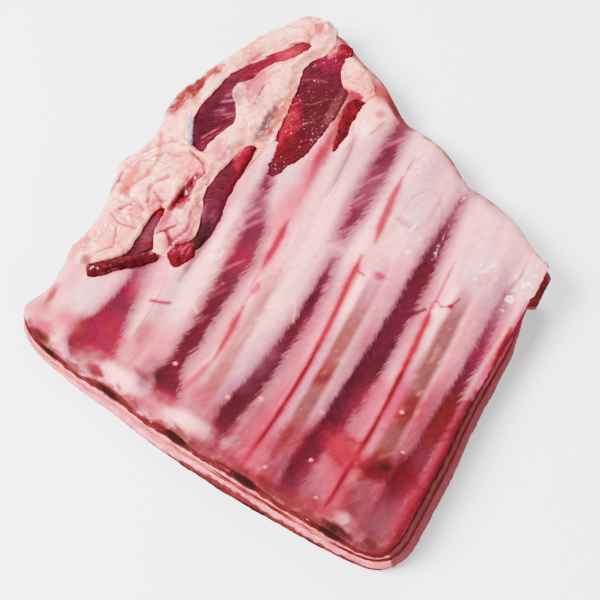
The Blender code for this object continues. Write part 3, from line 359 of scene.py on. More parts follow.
# Smears of blood under the membrane: half width, colour, strength, points.
SMEARS = [
    (3.2, "bright red", 0.95, [(27.5, -37), (34, -40.6), (40, -41.5)]),
    (1, "red", 0.8, [(30, -35), (34, -36.5), (38, -36)]), (1.4, "red", 0.8, [(31, -43.5), (36, -44.5)]),
    (1.6, "dark red", 0.9, [(40, -42.5), (46, -42), (51, -43)]),
    (2.4, "dark red", 0.7, [(49, -33), (53, -38), (58, -41), (61, -40)]),
    (1.6, "red", 0.7, [(-50, -33), (-44, -38), (-42, -42)]),
    (1.5, "red brown", 0.6, [(-56, -44), (-48, -46.5), (-42, -44)]),
    (1.6, "red", 0.8, [(-46, -48.5), (-42, -50)]), (1.5, "red", 0.7, [(-26, -48), (-21, -50), (-18, -49)]),
    (1.2, "red", 0.6, [(2, -56.5), (8, -58), (20, -60)]), (1.2, "red brown", 0.7, [(26, -60), (34, -62)]),
    (1.6, "stain", 0.6, [(50, -60), (57, -61)]),
    (1.3, "dark red", 0.95, [(61.6, -6), (61.4, -20), (60.8, -34), (60, -46), (58.6, -62)]),
    (0.5, "flush", 0.7, [(59.6, -12), (59.2, -28), (58.4, -44)]),
    (0.3, "bright red", 0.8, [(60.4, -24), (59.6, -42), (58, -56)]),
]
# Crumbs of fat and bone on the membrane: middle and half size.
CRUMBS = [
    (-30, 19, 0.5), (4.5, -36, 0.7), (-4.5, -40, 0.6), (23, -32, 0.6), (9, 9, 0.7), (-24, -37, 0.6),
    (44.4, -21.5, 0.6), (15.5, -55, 0.5), (33, -57, 0.4), (26.5, -47, 0.5), (50, -33, 0.4),
    (-41, -30, 0.4),
]
# Wrinkled wet places: middle, half sizes and shine.
GLINTS = [
    (26.5, 35, 6.5, 9, 1.6), (55, 31, 8, 9, 1.7), (62.5, 34, 3, 5, 1.7), (31, 58, 3, 5, 1.5),
    (39.5, 13, 1.5, 1.5, 1.2), (-30, 2, 3, 10, 0.8), (-20, 60, 4, 14, 0.8), (-9, -16, 3, 6, 0.7),
    (-60, -30, 5, 5, 0.6), (16, 60, 6, 6, 1), (45, 48, 12, 8, 1.1), (-8, 66, 5, 8, 1),
]
# Forms of the flap's fat: middle, half sizes, turn in degrees, rise in mm.
FORMS = [
    (-49.5, 65, 3.2, 9, 18, -2), (-36.6, 56, 2.6, 12, 0, -1.8), (-43.6, 47, 4.2, 6.5, 0, 0.7),
    (-35, 32, 3, 8, 0, -1.2), (-58, 22, 7, 9, 0, 0.8), (-66.5, -6, 5.5, 7, 0, 0.8),
    (-61.5, 4, 3.5, 5, 20, -1.3), (-59.4, 55, 2.2, 5.5, -8, 0.8), (-65.5, 52, 3, 9, -12, -1.3),
    (-68, 14, 3, 5, 0, -0.6), (-55, 82, 5, 10, -30, 0.6), (-44, 3, 5, 4, 0, 0.6), (-62, -14, 5, 3, 30, 0.6),
    (-48, 20, 2, 7, 0, -0.8), (-38.6, 88, 1.2, 6, 4, -0.7), (-34.6, 92, 2.6, 3, 0, 0.5),
]
# Spots on the flap's fat: middle, half sizes, turn in degrees where it has one, colour, strength.
FAT_SPOTS = [
    (-37.6, 92, 1.5, 2.4, "flush", 0.8), (-34, 95.4, 2.4, 1.2, "flush", 0.8),
    (-61.5, 61, 2, 4.2, -12, "orange red", 0.85), (-64.6, 54, 2.8, 4.6, -10, "dark red", 0.95),
    (-67, 46, 2, 4.6, -10, "red", 0.9), (-65.5, 50, 3.4, 9, -12, "orange red", 0.5),
    (-59.5, 55, 2.2, 5, "cream", 0.9), (-48.5, 66, 3.6, 9, 18, "pink", 0.85),
    # The dusk spot at (-37.4, 52) is painted shadow in the hollow beside the inner fat's ridge.
    (-50.6, 57, 2, 4, 30, "lilac", 0.5), (-37.4, 52, 1.6, 9, "dusk", 0.9), (-41, 30, 2, 12, "pink", 0.5),
    (-52, 26, 7, 5, 20, "fat pink", 0.6), (-43, -1, 3.4, 2.2, "flush", 0.7), (-40.6, 3, 1.8, 3, "red", 0.6),
    (-46, 36, 3, 4, "pink", 0.5), (-57, 78, 3, 8, -35, "fat pink", 0.8), (-34.6, 58, 1.5, 10, "orange", 0.7),
    (-35, 47, 1.4, 4, "bright red", 0.5), (-36, 30, 2.6, 9, "flush", 0.7), (-67, 14, 1.8, 6, "orange", 0.7),
    (-70.4, 8, 0.8, 7, "red", 0.4), (-62, -6, 6, 6, "fat pink", 0.6), (-60, 4, 2.4, 3, "flush", 0.5),
    (-44, 4, 6, 7, "rose", 0.6), (-49, 21, 1.8, 6, "flush", 0.7), (-48, 14, 1.6, 4, "bright red", 0.8),
    (-70, -14, 2, 5, "orange", 0.4), (-50, 8, 1.2, 5, "bright red", 0.7), (-50, 3, 2, 3, "flush", 0.6),
    (-65.4, -18, 1.8, 1.8, "dusty", 0.8), (-55.6, 10, 1.8, 4, "pink", 0.6),
    (-40.5, -1, 2.4, 2.6, "red", 0.8),
]
# Folds in the flap's fat: half width, colour, strength, rise in mm, points. Their colours are partly the
# fat's own and partly painted shade in the folds.
FAT_FOLDS = [
    (0.9, "red", 0.9, -0.9, [(-50.6, 10), (-50, 14), (-49.2, 20), (-48, 25)]),
    (0.5, "flush", 0.9, -1, [(-54, 31), (-49, 29.5), (-46.6, 26), (-48.6, 22)]),
    (0.4, "flush", 0.6, -0.7, [(-58, 32), (-54, 33.6), (-50, 33)]),
    (0.4, "fat shade", 0.8, -0.6, [(-68, 24), (-64, 30), (-60, 33)]),
    (0.5, "flush", 0.7, -0.9, [(-56, 20), (-60, 14), (-58, 9)]),
    (0.5, "pink", 0.8, -0.9, [(-66, 0), (-62, -2), (-57, -1)]),
    (0.5, "pink", 0.8, -0.7, [(-44, 12), (-42, 6), (-44, 0)]),
    (0.7, "red", 0.8, -0.5, [(-47.5, 2), (-44, -1.5), (-41, 0)]),
    (0.7, "orange", 0.6, -0.6, [(-66, 33), (-62, 25), (-63, 17), (-66, 11)]),
    (0.5, "red", 0.7, -0.6, [(-58, 13), (-54, 11), (-53, 7)]),
    (0.4, "fat shade", 0.9, -0.4, [(-38.4, 93), (-39, 84)]),
    (0.5, "red", 0.9, -0.3, [(-43.5, 82), (-41, 84), (-39, 85.5)]),
    (0.3, "red", 0.8, 0, [(-44, 56), (-44.4, 64)]), (0.5, "rose", 0.8, 0, [(-52, 37), (-50, 43)]),
    (0.8, "bluish", 0.9, 0.3, [(-60, 42), (-58, 38), (-56, 34)]),
    (0.5, "red", 0.9, -0.5, [(-50, 0), (-46, 5)]),
    (0.45, "flush", 0.8, -0.5, [(-65, 3), (-62, 8), (-58, 6)]),
    (0.4, "flush", 0.6, -0.4, [(-66, 22), (-61, 27), (-56, 28)]),
    (0.4, "flush", 0.6, -0.5, [(-62, -4), (-60, -10), (-63, -14)]),
    (0.3, "red", 0.7, -0.2, [(-70.4, 0), (-70.2, 15)]),
    (0.4, "fat shade", 0.8, -0.6, [(-57, 29), (-52, 30.4), (-47, 29)]),
    (0.3, "flush", 0.5, -0.2, [(-56, 66), (-50, 76)]),
    (0.3, "fat shade", 0.6, -0.2, [(-52.5, 90), (-47, 88), (-42, 90)]),
]
# Share of the cap's cut front that is meat, along it, and where its foot is darkest.
RAGGED_FOOT = [
    (-76, 0.14), (-60, 0.224), (-40, 0.196), (-20, 0.308), (-8, 0.7), (5, 0.868), (20, 0.7), (35, 0.644),
    (48, 0.56), (62, 0.42),
]
DARK_FOOT = ((-16, -10), (1, 4), (10, 19), (30, 39), (46, 50))


# ---- Numbers ---------------------------------------------------------------------------------------
def ease(t):
    """Ease from 0 to 1, and stay there outside."""
    t = np.clip(t, 0.0, 1.0)
    return t * t * (3 - 2 * t)


def line(points, place):
    """Values of the smooth line through (place, value) points, as in the solids."""
    spots, values = np.array(points, float).T
    last = len(spots) - 1
    place = np.asarray(place, float)
    index = np.clip(np.searchsorted(spots[1:-1], place), 0, last - 1)
    start, end, low, high = spots[index], spots[index + 1], values[index], values[index + 1]
    before, after = np.maximum(index - 1, 0), np.minimum(index + 2, last)
    slope_in = (high - values[before]) / (end - spots[before])
    slope_out = (values[after] - low) / (spots[after] - start)
    span = end - start
    t = np.clip((place - start) / span, 0.0, 1.0)
    return (low + (high - low) * t * t * (3 - 2 * t) + span * slope_in * t * (1 - t) ** 2
            - span * slope_out * t * t * (1 - t))


def lattice_noise(p, q, seed):
    """Gradient noise on a unit lattice, the same on every run."""
    column, row = np.floor(p).astype(np.int64), np.floor(q).astype(np.int64)
    step_p, step_q = p - column, q - row
    blend_p = step_p ** 3 * (step_p * (step_p * 6 - 15) + 10)
    blend_q = step_q ** 3 * (step_q * (step_q * 6 - 15) + 10)
    total = np.zeros_like(step_p)
    for i in (0, 1):
        for j in (0, 1):
            key = ((column + i) * 374761393 + (row + j) * 668265263 + seed * 2246822519) & 0xFFFFFFFF
            key = ((key ^ (key >> 13)) * 1274126177) & 0xFFFFFFFF
            turn = (key ^ (key >> 16)) / 2.0 ** 32 * 2 * math.pi
            share = (blend_p if i else 1 - blend_p) * (blend_q if j else 1 - blend_q)
            total += share * (np.cos(turn) * (step_p - i) + np.sin(turn) * (step_q - j))
    return 1.4 * total


def noise(x, y, size, seed, octaves=2, angle=0.0):
    """Soft unevenness of about -1 to 1. The size is a wavelength, or one along and one across the angle."""
    turn = math.radians(angle)
    along_size, across_size = size if isinstance(size, tuple) else (size, size)
    p = (x * math.cos(turn) + y * math.sin(turn)) / along_size
    q = (y * math.cos(turn) - x * math.sin(turn)) / across_size
    total, weight, whole = 0.0, 1.0, 0.0
    for octave in range(octaves):
        total = total + weight * lattice_noise(p + 7.7 * octave, q + 3.1 * octave, seed + octave)
        p, q, whole, weight = p * 2, q * 2, whole + weight, weight * 0.5
    return total / whole


def along(points, share):
    """Points of a side's line at shares of its way, as (place, value)."""
    place = points[0][0] + (points[-1][0] - points[0][0]) * share
    return place, line(points, place)


def plan(u, v):
    """Places in the plan for shares across (u) and along (v) the ribs."""
    front, back = np.array(along(FRONT_EDGE, u)), np.array(along(BACK_EDGE, u))
    left, right = np.array(along(LEFT_EDGE, v))[::-1], np.array(along(RIGHT_EDGE, v))[::-1]
    ends = [np.array(along(edge, share)).reshape(2, 1)
            for edge in (FRONT_EDGE, BACK_EDGE) for share in (0.0, 1.0)]
    corners = (ends[0] * (1 - u) * (1 - v) + ends[1] * u * (1 - v) + ends[2] * (1 - u) * v + ends[3] * u * v)
    return front * (1 - v) + back * v + left * (1 - u) + right * u - corners


def rim_distance(u, v):
    """About how far a place is from the nearest side, mm."""
    wide = FRONT_EDGE[-1][0] - FRONT_EDGE[0][0]
    long = RIGHT_EDGE[-1][0] - RIGHT_EDGE[0][0]
    return np.minimum(np.minimum(u, 1 - u) * wide, np.minimum(v, 1 - v) * long)


def lift(x, y):
    return CORNER_LIFT * ease(1 - np.hypot(RIGHT_EDGE[-1][1] - x, RIGHT_EDGE[-1][0] - y) / CORNER_REACH)


def height(x, y):
    return (RIGHT_HEIGHT - LEFT_FALL * ease((10 - x) / 85) - FRONT_FALL * ease((-30 - y) / 35)
            - BACK_FALL * ease((y - 20) / 60) * ease((x + 60) / 40))


def groove_at(name, y):
    return line(list(zip(STATIONS, GROOVES[name])), y)


def wall_top(x, y):
    """Upper face of the chest wall: crests over the ribs, grooves between them."""
    top = height(x, y)
    for name in GROOVES:
        fade = 1 - ease((y - GROOVE_ENDS[name]) / GROOVE_FADE) if name in GROOVE_ENDS else 1.0
        top = top - GROOVE_DEPTH * fade * np.exp(-((x - groove_at(name, y)) / GROOVE_WIDTH) ** 2)
    for centre_x, centre_y, reach_x, reach_y, rise in SWELLINGS:
        top = top + rise * np.exp(-((x - centre_x) / reach_x) ** 2 - ((y - centre_y) / reach_y) ** 2)
    return top


def wall_bottom(x, y):
    return height(x, y) * (1 - WALL_SHARE[1]) - WALL_SHARE[0]


def lean_bottom(x, y):
    return wall_bottom(x, y) - GAP - LEAN_SHARE[0] - LEAN_SHARE[1] * height(x, y)


def spread(x, y, z, u, v):
    """How far the slope of the cut sides moves places outwards, at a height over the table."""
    share = 1 - z / height(x, y)
    return ((line(RIGHT_SLOPE, y) * u - line(LEFT_SLOPE, y) * (1 - u)) * share,
            (line(BACK_SLOPE, x) * v - line(FRONT_SLOPE, x) * (1 - v)) * share)


def reading(x, y, z):
    """Where places are seen from the viewpoint on the level the strokes are read on."""
    scale = (READING_LEVEL - EYE[2]) / (z - EYE[2])
    return EYE[0] + (x - EYE[0]) * scale, EYE[1] + (y - EYE[1]) * scale


# ---- Laying colours on ---------------------------------------------------------------------------------
def to_light(colour):
    """From colours as they look to the amounts of light that materials use."""
    colour = np.clip(colour, 0, 1)
    return np.where(colour <= 0.04045, colour / 12.92, ((colour + 0.055) / 1.055) ** 2.4)


def tint(name):
    """A tint as it looks, from the settings where they hold it."""
    if name in CHOSEN:
        light = np.array(getattr(bpy.context.scene.lamb_ribs, CHOSEN[name]))
        looks = 1.055 * np.maximum(light, 1e-9) ** (1 / 2.4) - 0.055
        return np.where(light <= 0.0031308, light * 12.92, looks)
    return np.array(TINTS[name]) / 255.0


class Canvas:
    """What is laid on a piece's points: colour, the bands' ink and edge, relief and gloss."""

    def __init__(self, x, y, z, base):
        self.x, self.y = reading(x, y, z)
        self.colour = np.tile(tint(base), (len(x), 1))
        self.ink = np.tile(tint("maroon"), (len(x), 1))
        self.band = np.full(len(x), OUTSIDE)
        self.side = np.ones(len(x))
        self.rise = np.zeros(len(x))
        self.gloss = np.full(len(x), 0.2)

    def lay(self, mask, name, strength=1.0, on_ink=0.0):
        share = np.clip(mask * strength, 0, 1)[:, None]
        self.colour = self.colour * (1 - share) + tint(name) * share
        if on_ink:
            self.ink = self.ink * (1 - on_ink * share) + tint(name) * share * on_ink

    def streaks(self, rows, mask=1.0, p=None, q=None):
        """Lay streaks: size, seed, octaves, angle, gain and shift of their noise, colour and strength."""
        p, q = self.x if p is None else p, self.y if q is None else q
        for size, seed, octaves, angle, gain, shift, name, strength in rows:
            self.lay(mask * ease(shift + gain * noise(p, q, size, seed, octaves, angle)), name, strength)

    def spots(self, rows):
        """Lay spots: middle, half sizes, turn and softness where they have one, colour and strength."""
        for *form, name, strength in rows:
            self.lay(self.spot(*form), name, strength)

    def uneven(self, size, seed, octaves=2, angle=0.0):
        return noise(self.x, self.y, size, seed, octaves, angle)

    def crease(self, size, seed, angle, width=0.1):
        """Thin wandering lines: 1 along them."""
        return np.clip(1 - np.abs(self.uneven(size, seed, 2, angle)) / width, 0, 1)

    def spot(self, middle_x, middle_y, half_x, half_y, angle=0.0, soft=0.45, ragged=0.6):
        turn = math.radians(angle)
        across, forth = self.x - middle_x, self.y - middle_y
        p = (across * math.cos(turn) + forth * math.sin(turn)) / half_x
        q = (forth * math.cos(turn) - across * math.sin(turn)) / half_y
        reach = np.hypot(p, q) + ragged * self.uneven(0.9 * min(half_x, half_y) + 0.6, 5, 3)
        return ease(0.5 + (1 - reach) / (2 * soft))

    def strip(self, rows, soft, seed, ragged=0.4, fade=2.0):
        """A strip along the ribs whose colour and strength change along it."""
        places = [row[0] for row in rows]
        wander = self.y + 1.2 * self.uneven((2.5, 9), seed + 3, 2)
        left, right = line([row[:2] for row in rows], self.y), line([row[:3:2] for row in rows], self.y)
        inside = np.minimum(self.x - left, right - self.x) + ragged * self.uneven((7, 1.6), seed, 2, 86)
        ends = np.minimum(self.y - places[0], places[-1] - self.y)
        strength = np.interp(wander, places, [row[4] for row in rows])
        share = ease(0.5 + inside / (2 * soft)) * ease(0.5 + ends / (2 * fade)) * strength
        share = np.clip(share, 0, 1)[:, None]
        tints = np.array([tint(row[3]) for row in rows])
        wanted = np.stack([np.interp(wander, places, tints[:, channel]) for channel in range(3)], 1)
        self.colour = self.colour * (1 - share) + wanted * share

    def stroke(self, points, half, soft=0.4, ragged=0.3, taper=0.0):
        """Mask of a line through points, thinner towards its ends where it has a taper."""
        nearest = np.full(len(self.x), 1e9)
        for (start_x, start_y), (end_x, end_y) in zip(points, points[1:]):
            run_x, run_y = end_x - start_x, end_y - start_y
            t = ((self.x - start_x) * run_x + (self.y - start_y) * run_y) / (run_x ** 2 + run_y ** 2)
            t = np.clip(t, 0, 1)
            away = np.hypot(self.x - start_x - run_x * t, self.y - start_y - run_y * t)
            nearest = np.minimum(nearest, away)
        nearest = nearest + ragged * self.uneven(2.2, 13)
        if taper:
            ends = np.minimum(*(np.hypot(self.x - x, self.y - y) for x, y in (points[0], points[-1])))
            half = half * (0.25 + 0.75 * ease(ends / taper)) * (0.95 + 0.35 * self.uneven(7, 15))
        return ease(0.5 + (half - nearest) / (2 * soft))

    def add_band(self, rows, seed, one_way):
        """A dark band: its ink, and how far inside it each place is."""
        places = [row[0] for row in rows]
        left, right = line([row[:2] for row in rows], self.y), line([row[:3:2] for row in rows], self.y)
        inside = np.minimum(self.x - left, right - self.x) + 0.5 * self.uneven(5.0, seed)
        inside = np.minimum(inside, np.minimum(self.y - places[0], places[-1] - self.y) / 1.5)
        colours = np.array([tint(row[3]) for row in rows])
        ink = np.stack([np.interp(self.y, places, colours[:, channel]) for channel in range(3)], 1)
        near = (inside > -7) & (inside > self.band)
        self.ink = np.where(near[:, None], ink, self.ink)
        side = 1.0 if one_way else (2 * self.x - left - right) / (right - left)
        self.side = np.where(near, side, self.side)
        self.band = np.maximum(self.band, inside)


def paint_membrane(canvas):
    """The membrane over the ribs with the bands between them, the vessels and the stains, and some painted
    shade and a painted highlight.
    """
    x, y = canvas.x, canvas.y
    across = x - groove_at("third", y)
    canvas.streaks([((4, 34), 21, 3, 0, 0.8, 0.5, "rose", 0.55)], 1 - 0.65 * ease((y - 6) / 26), across)
    canvas.lay(ease((y - 28) / 30), "white", 0.5)
    canvas.lay(ease((-14 - y) / 30) * ease((x + 40) / 30), "dusty", 0.55)
    canvas.lay(ease((x - 44) / 14) * ease((0 - y) / 24), "flush", 0.5)
    canvas.streaks([((3.4, 26), 24, 3, 0, 2.4, -0.1, "lavender", 0.4),
                    ((2.2, 16), 23, 4, 0, 2.4, -0.2, "white", 0.6)], p=across)
    canvas.streaks([((7, 4.5), 26, 4, 70, 2.6, -0.5, "white", 0.55)])
    for index, (soft, rows) in enumerate(STRIPS):
        canvas.strip(rows, soft, 9 + index)
    canvas.streaks([((6, 3.5), 28, 4, 78, 2.6, -0.5, "white", 0.25)])
    canvas.streaks([((2.1, 24), 27, 3, 0, 2.2, -0.25, "flush", 0.3)], p=across)
    canvas.streaks([((10, 2.4), 25, 3, 55, 1.8, -0.2, "white", 0.2),
                    ((8, 3.0), 29, 3, 48, 1.8, -0.35, "dusty", 0.3)])
    canvas.streaks([((14, 5), 46, 3, 84, 1.4, 0.5, "pearl", 0.45)], ease((y - 22) / 24))
    for index, (key, rows) in enumerate(BANDS.items()):
        canvas.add_band(rows, 31 + index, key in ONE_WAY)
    canvas.lay(ease(1 + canvas.band / 4.5), "lavender", 0.55)
    canvas.lay(ease(1 + canvas.band / 3.0) * (canvas.side > 0), "dusty", 0.4)
    canvas.streaks([((8, 3.6), 35, 3, 82, 1.1, 0.7, "red", 0.42),
                    ((5, 2.2), 36, 3, 74, 1.6, 0.2, "stain", 0.5)],
                   ease((-30 - y) / 20) * ease((x + 14) / 12))
    for *form, name, strength in SPOTS:
        canvas.lay(canvas.spot(*form, 0.4), name, strength, 0.75)
    for half, name, strength, points in VESSELS:
        if name == "bright red":
            canvas.lay(canvas.stroke(points, half + 0.7, 1.3, taper=5), "flush", 0.5 * strength)
        long = abs(points[0][1] - points[-1][1]) > 8
        mask = canvas.stroke(points, half, 0.25 + 0.45 * half, 0.12, taper=6.0 if long else 0.0)
        canvas.lay(mask, name, strength, 0.6)
        canvas.rise += 0.15 * mask
    paint_fingers(canvas)
    for half, name, strength, points in SMEARS:
        canvas.lay(canvas.stroke(points, half, 1.3 + 0.4 * half, 1.6, taper=5), name, strength, 0.8)
    for middle_x, middle_y, half in CRUMBS:
        mask = canvas.spot(middle_x, middle_y, half, half, 0, 0.5, 0.3)
        canvas.lay(mask, "fat pink", 0.9, 1)
        canvas.rise += 0.4 * mask
    canvas.rise += 0.3 * canvas.uneven((12, 4), 41, 2, 82) + 0.12 * canvas.uneven((5, 1.6), 43, 2, 60)
    canvas.rise -= 0.35 * ease(canvas.band / 2)
    for *form, shine in GLINTS:
        mask = canvas.spot(*form, 0, 0.7)
        canvas.gloss = np.maximum(canvas.gloss, shine * mask * (1 - 0.35 * ease(canvas.band / 1.5)))
        depth = (0.22 + 0.16 * (shine > 1.3)) * min(shine, 1.3)
        canvas.rise += depth * mask * canvas.uneven((2.8, 1.4), 45, 2, 50)


def paint_fingers(canvas):
    """Pale fibres that reach into two bands, and dark ones below the flank muscle's tip."""
    for key, count, first, pitch, strength in (("b", 15, -24, 4.2, 0.42), ("c back", 10, 24, 4.1, 0.5)):
        left_line = [row[:2] for row in BANDS[key]]
        for index in range(count):
            place = first + pitch * index + 1.6 * math.sin(7.3 * index)
            start, long = line(left_line, place) - 1.8, 5.0 + 2.4 * math.sin(4.1 * index)
            points = [(start, place - 3), (start + 0.6 * long, place - 3 + long),
                      (start + long, place + 1.1 * long)]
            mask = canvas.stroke(points, 0.4 + 0.2 * math.sin(3.3 * index), 0.8, 0.3, taper=4)
            canvas.lay(mask, "rose", strength + 0.25 * math.sin(2.7 * index), 1)
    for index in range(9):
        x, y = -28.5 + 0.2 * math.sin(5 * index), 22.6 + 1.4 * index
        long = 1 + 0.35 * math.sin(2.3 * index) + 0.05 * index
        points = [(x, y), (x + 1.6 * long, y + 1.7 * long), (x + 3 * long, y + 4.2 * long)]
        canvas.lay(canvas.stroke(points, 0.35, 0.5, 0.3, taper=3), "maroon", 0.7)


# ---- Meshes --------------------------------------------------------------------------------------------
def make_piece(name, x, y, z, faces, canvas, material, node):
    """A piece from its points in plan millimetres, its faces and what is laid on it."""
    points = np.stack([x - PLAN_CENTRE[0], y - PLAN_CENTRE[1], z], 1) * MM
    mesh = bpy.data.meshes.new(name)
    mesh.from_pydata(points.tolist(), [], faces)
    mesh.update()
    mesh.shade_smooth()
    for key, colours in (("tint", canvas.colour), ("ink", canvas.ink)):
        values = np.concatenate([to_light(colours), np.ones((len(x), 1))], 1)
        layer = mesh.attributes.new(key, "FLOAT_COLOR", "POINT")
        layer.data.foreach_set("color", values.astype(np.float32).ravel())
    for key, values in (("band", canvas.band), ("side", canvas.side), ("gloss", canvas.gloss)):
        layer = mesh.attributes.new(key, "FLOAT", "POINT")
        layer.data.foreach_set("value", values.astype(np.float32))
    mesh.materials.append(material)
    item = bpy.data.objects.new(name, mesh)
    bpy.context.scene.collection.objects.link(item)
    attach(item, "root")
    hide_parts(node)


def grid_faces(index, turned=False):
    """Faces between the points of a grid, wound the other way where turned."""
    corners = [index[:-1, :-1], index[:-1, 1:], index[1:, 1:], index[1:, :-1]]
    if turned:
        corners[1], corners[3] = corners[3], corners[1]
    return np.stack(corners, -1).reshape(-1, 4)


def closed_sheet(x, y, top, low, edge, rise, turned=False):
    """Points, rises and faces of a sheet whose edge points also close a flat underside, a little below."""
    index = np.arange(x.size).reshape(x.shape)
    inner = ~edge
    below = np.where(edge, index, 0)
    below[inner] = x.size + np.arange(inner.sum())
    faces = np.concatenate([grid_faces(index, turned), grid_faces(below, not turned)]).tolist()
    ends = ((x, x), (y, y), (top, low - RIM_OUT), (rise, np.zeros_like(x)))
    return *(np.concatenate([upper.ravel(), under[inner]]) for upper, under in ends), faces


def shell(columns, rows, rings, fine_top=True):
    """Shares (u, v, w) of a layer's points and its faces: a fine face, rings on its sides, a closing."""
    v, u = np.meshgrid(np.linspace(0, 1, rows + 1), np.linspace(0, 1, columns + 1), indexing="ij")
    u, v = u.ravel(), v.ravel()
    index = np.arange(len(u)).reshape(rows + 1, columns + 1)
    loop = np.concatenate([index[0, :-1], index[:-1, -1], index[-1, :0:-1], index[:0:-1, 0]])
    all_u, all_v, all_w, faces = [u], [v], [np.ones(len(u))], [grid_faces(index)]
    count, before = len(u), loop
    closing = (0.94, 0.8, 0.6, 0.4, 0.2)
    for step in range(1, rings + len(closing) + 1):
        share = 1.0 if step <= rings else closing[step - rings - 1]
        all_u.append(0.5 + (u[loop] - 0.5) * share)
        all_v.append(0.5 + (v[loop] - 0.5) * share)
        all_w.append(np.full(len(loop), max(1 - step / rings, 0.0)))
        after = count + np.arange(len(loop))
        faces.append(np.stack([before, after, np.roll(after, -1), np.roll(before, -1)], 1))
        count, before = count + len(loop), after
    all_u.append(np.array([0.5]))
    all_v.append(np.array([0.5]))
    all_w.append(np.array([0.0]))
    fan = [(start, count, end) for start, end in zip(before.tolist(), np.roll(before, -1).tolist())]
    faces = np.concatenate(faces).tolist() + fan
    w = np.concatenate(all_w)
    if not fine_top:
        w = 1 - w
        faces = [face[::-1] for face in faces]
    return np.concatenate(all_u), np.concatenate(all_v), w, faces


def layer_points(u, v, w, bottom, top, rounding=0.0, tab=0.0):
    """Places of a layer's points before its relief, and the outward way on the sides."""
    edge = rim_distance(u, v)
    x, y = plan(u, v)
    z = bottom(x, y, edge) * (1 - w) + top(x, y, edge) * w
    across, forth = spread(x, y, z, u, v)
    x, y = x + across, y + forth
    near = np.clip(1 - edge / 1.5, 0, 1)
    middle = plan(np.array([0.5]), np.array([0.5]))[:, 0]
    out_x, out_y = x - middle[0], y - middle[1]
    length = np.maximum(np.hypot(out_x, out_y), TINY)
    out_x, out_y = out_x / length, out_y / length
    bulge = near * rounding * np.sin(math.pi * w)
    x, y = x + out_x * bulge, y + out_y * bulge
    x = x + tab * ease((y - TAB_FRONT) / 1.6) * ease((TAB_BACK - y) / 1.6) * ease((x - 58) / 5)
    low, high = bottom(x, y, edge), top(x, y, edge)
    return x, y, low + (high - low) * w + lift(x, y), edge, out_x, out_y, near


def covered(x, y):
    """How far inside the ground that the flap covers, mm, and the seat's height there."""
    depth, seat = np.full(len(x), OUTSIDE), np.full(len(x), FLAP_SEAT)
    for first, last, left, right, level in COVERED:
        inside = np.minimum(x - line(left, y) + (3 if left is LEFT_EDGE else 0), line(right, y) - x)
        inside = np.minimum(inside, np.minimum(y - first, last - y))
        seat = np.where(inside > depth, level, seat)
        depth = np.maximum(depth, inside)
    return depth, seat


# ---- Materials -----------------------------------------------------------------------------------------
def add_node(tree, kind, settings=None, **inputs):
    """A shader node with its settings, and its inputs given as values or linked from outputs."""
    made = tree.nodes.new(kind)
    for key, value in (settings or {}).items():
        setattr(made, key, value)
    for key, value in inputs.items():
        by_place = key[0] == "i" and key[1:].isdigit()
        socket = made.inputs[int(key[1:]) if by_place else key.replace("_", " ")]
        if isinstance(value, bpy.types.NodeSocket):
            tree.links.new(value, socket)
        else:
            socket.default_value = value
    return made


def calculate(tree, operation, first, second=0.0, third=0.0):
    settings = {"operation": operation}
    return add_node(tree, "ShaderNodeMath", settings, i0=first, i1=second, i2=third).outputs[0]


def blend_colour(tree, share, first, second):
    settings = {"data_type": "RGBA", "blend_type": "MIX"}
    return add_node(tree, "ShaderNodeMix", settings, i0=share, i6=first, i7=second).outputs[2]


def between(tree, value, low, high, first=0.0, last=1.0):
    made = add_node(tree, "ShaderNodeMapRange", {"interpolation_type": "SMOOTHSTEP"}, Value=value,
                    From_Min=low, From_Max=high, To_Min=first, To_Max=last)
    return made.outputs[0]


def cloud(tree, place, scale, detail, roughness):
    """Even noise; the scale is in waves per millimetre."""
    made = add_node(tree, "ShaderNodeTexNoise", {}, Vector=place, Scale=scale, Detail=detail,
                    Roughness=roughness)
    return made.outputs[0]


def stretched(tree, place, angle, along_size, across_size, detail=3.0):
    """A noise drawn out along an angle in the plan; sizes in millimetres."""
    turned = add_node(tree, "ShaderNodeMapping", {}, Vector=place, Rotation=(0, 0, -math.radians(angle)))
    sized = add_node(tree, "ShaderNodeMapping", {}, Vector=turned.outputs[0],
                     Scale=(1 / along_size, 1 / across_size, 1 / across_size))
    return cloud(tree, sized.outputs[0], 1.0, detail, 0.6)


def band_share(tree, place, laid, angle, fingers):
    """How much ink each place shows: feathered along the fibres at the edges of the bands."""
    way = between(tree, laid["side"].outputs["Fac"], -0.3, 0.2)
    band = laid["band"].outputs["Fac"]

    def feathered(along_size, across_size, detail):
        left, right = (stretched(tree, place, turn, along_size, across_size, detail)
                       for turn in (180 - angle, angle))
        left = calculate(tree, "MULTIPLY", left, calculate(tree, "SUBTRACT", 1.0, way))
        return calculate(tree, "ADD", left, calculate(tree, "MULTIPLY", right, way))

    reach = calculate(tree, "MULTIPLY_ADD", feathered(6.5, 0.85, 2.5), 2 * fingers, -fingers)
    reach = calculate(tree, "MULTIPLY", reach, calculate(tree, "MULTIPLY_ADD", way, 0.75, 0.45))
    reach = calculate(tree, "ADD", calculate(tree, "ADD", band, 0.4), reach)
    veil = calculate(tree, "MULTIPLY_ADD", reach, 0.35, calculate(tree, "MULTIPLY", band, 0.65))
    veil = between(tree, veil, -3.2, 0.8, 0.0, 0.5)
    share = calculate(tree, "MAXIMUM", veil, between(tree, reach, -1.5, 1.9))
    pale = between(tree, feathered(7.0, 0.6, 1.5), 0.5, 0.75)
    pale = calculate(tree, "MULTIPLY", pale, between(tree, band, 2.2, 0.2, 0.1, 1.0))
    return calculate(tree, "MULTIPLY", share, calculate(tree, "MULTIPLY_ADD", pale, -0.3, 1.0))


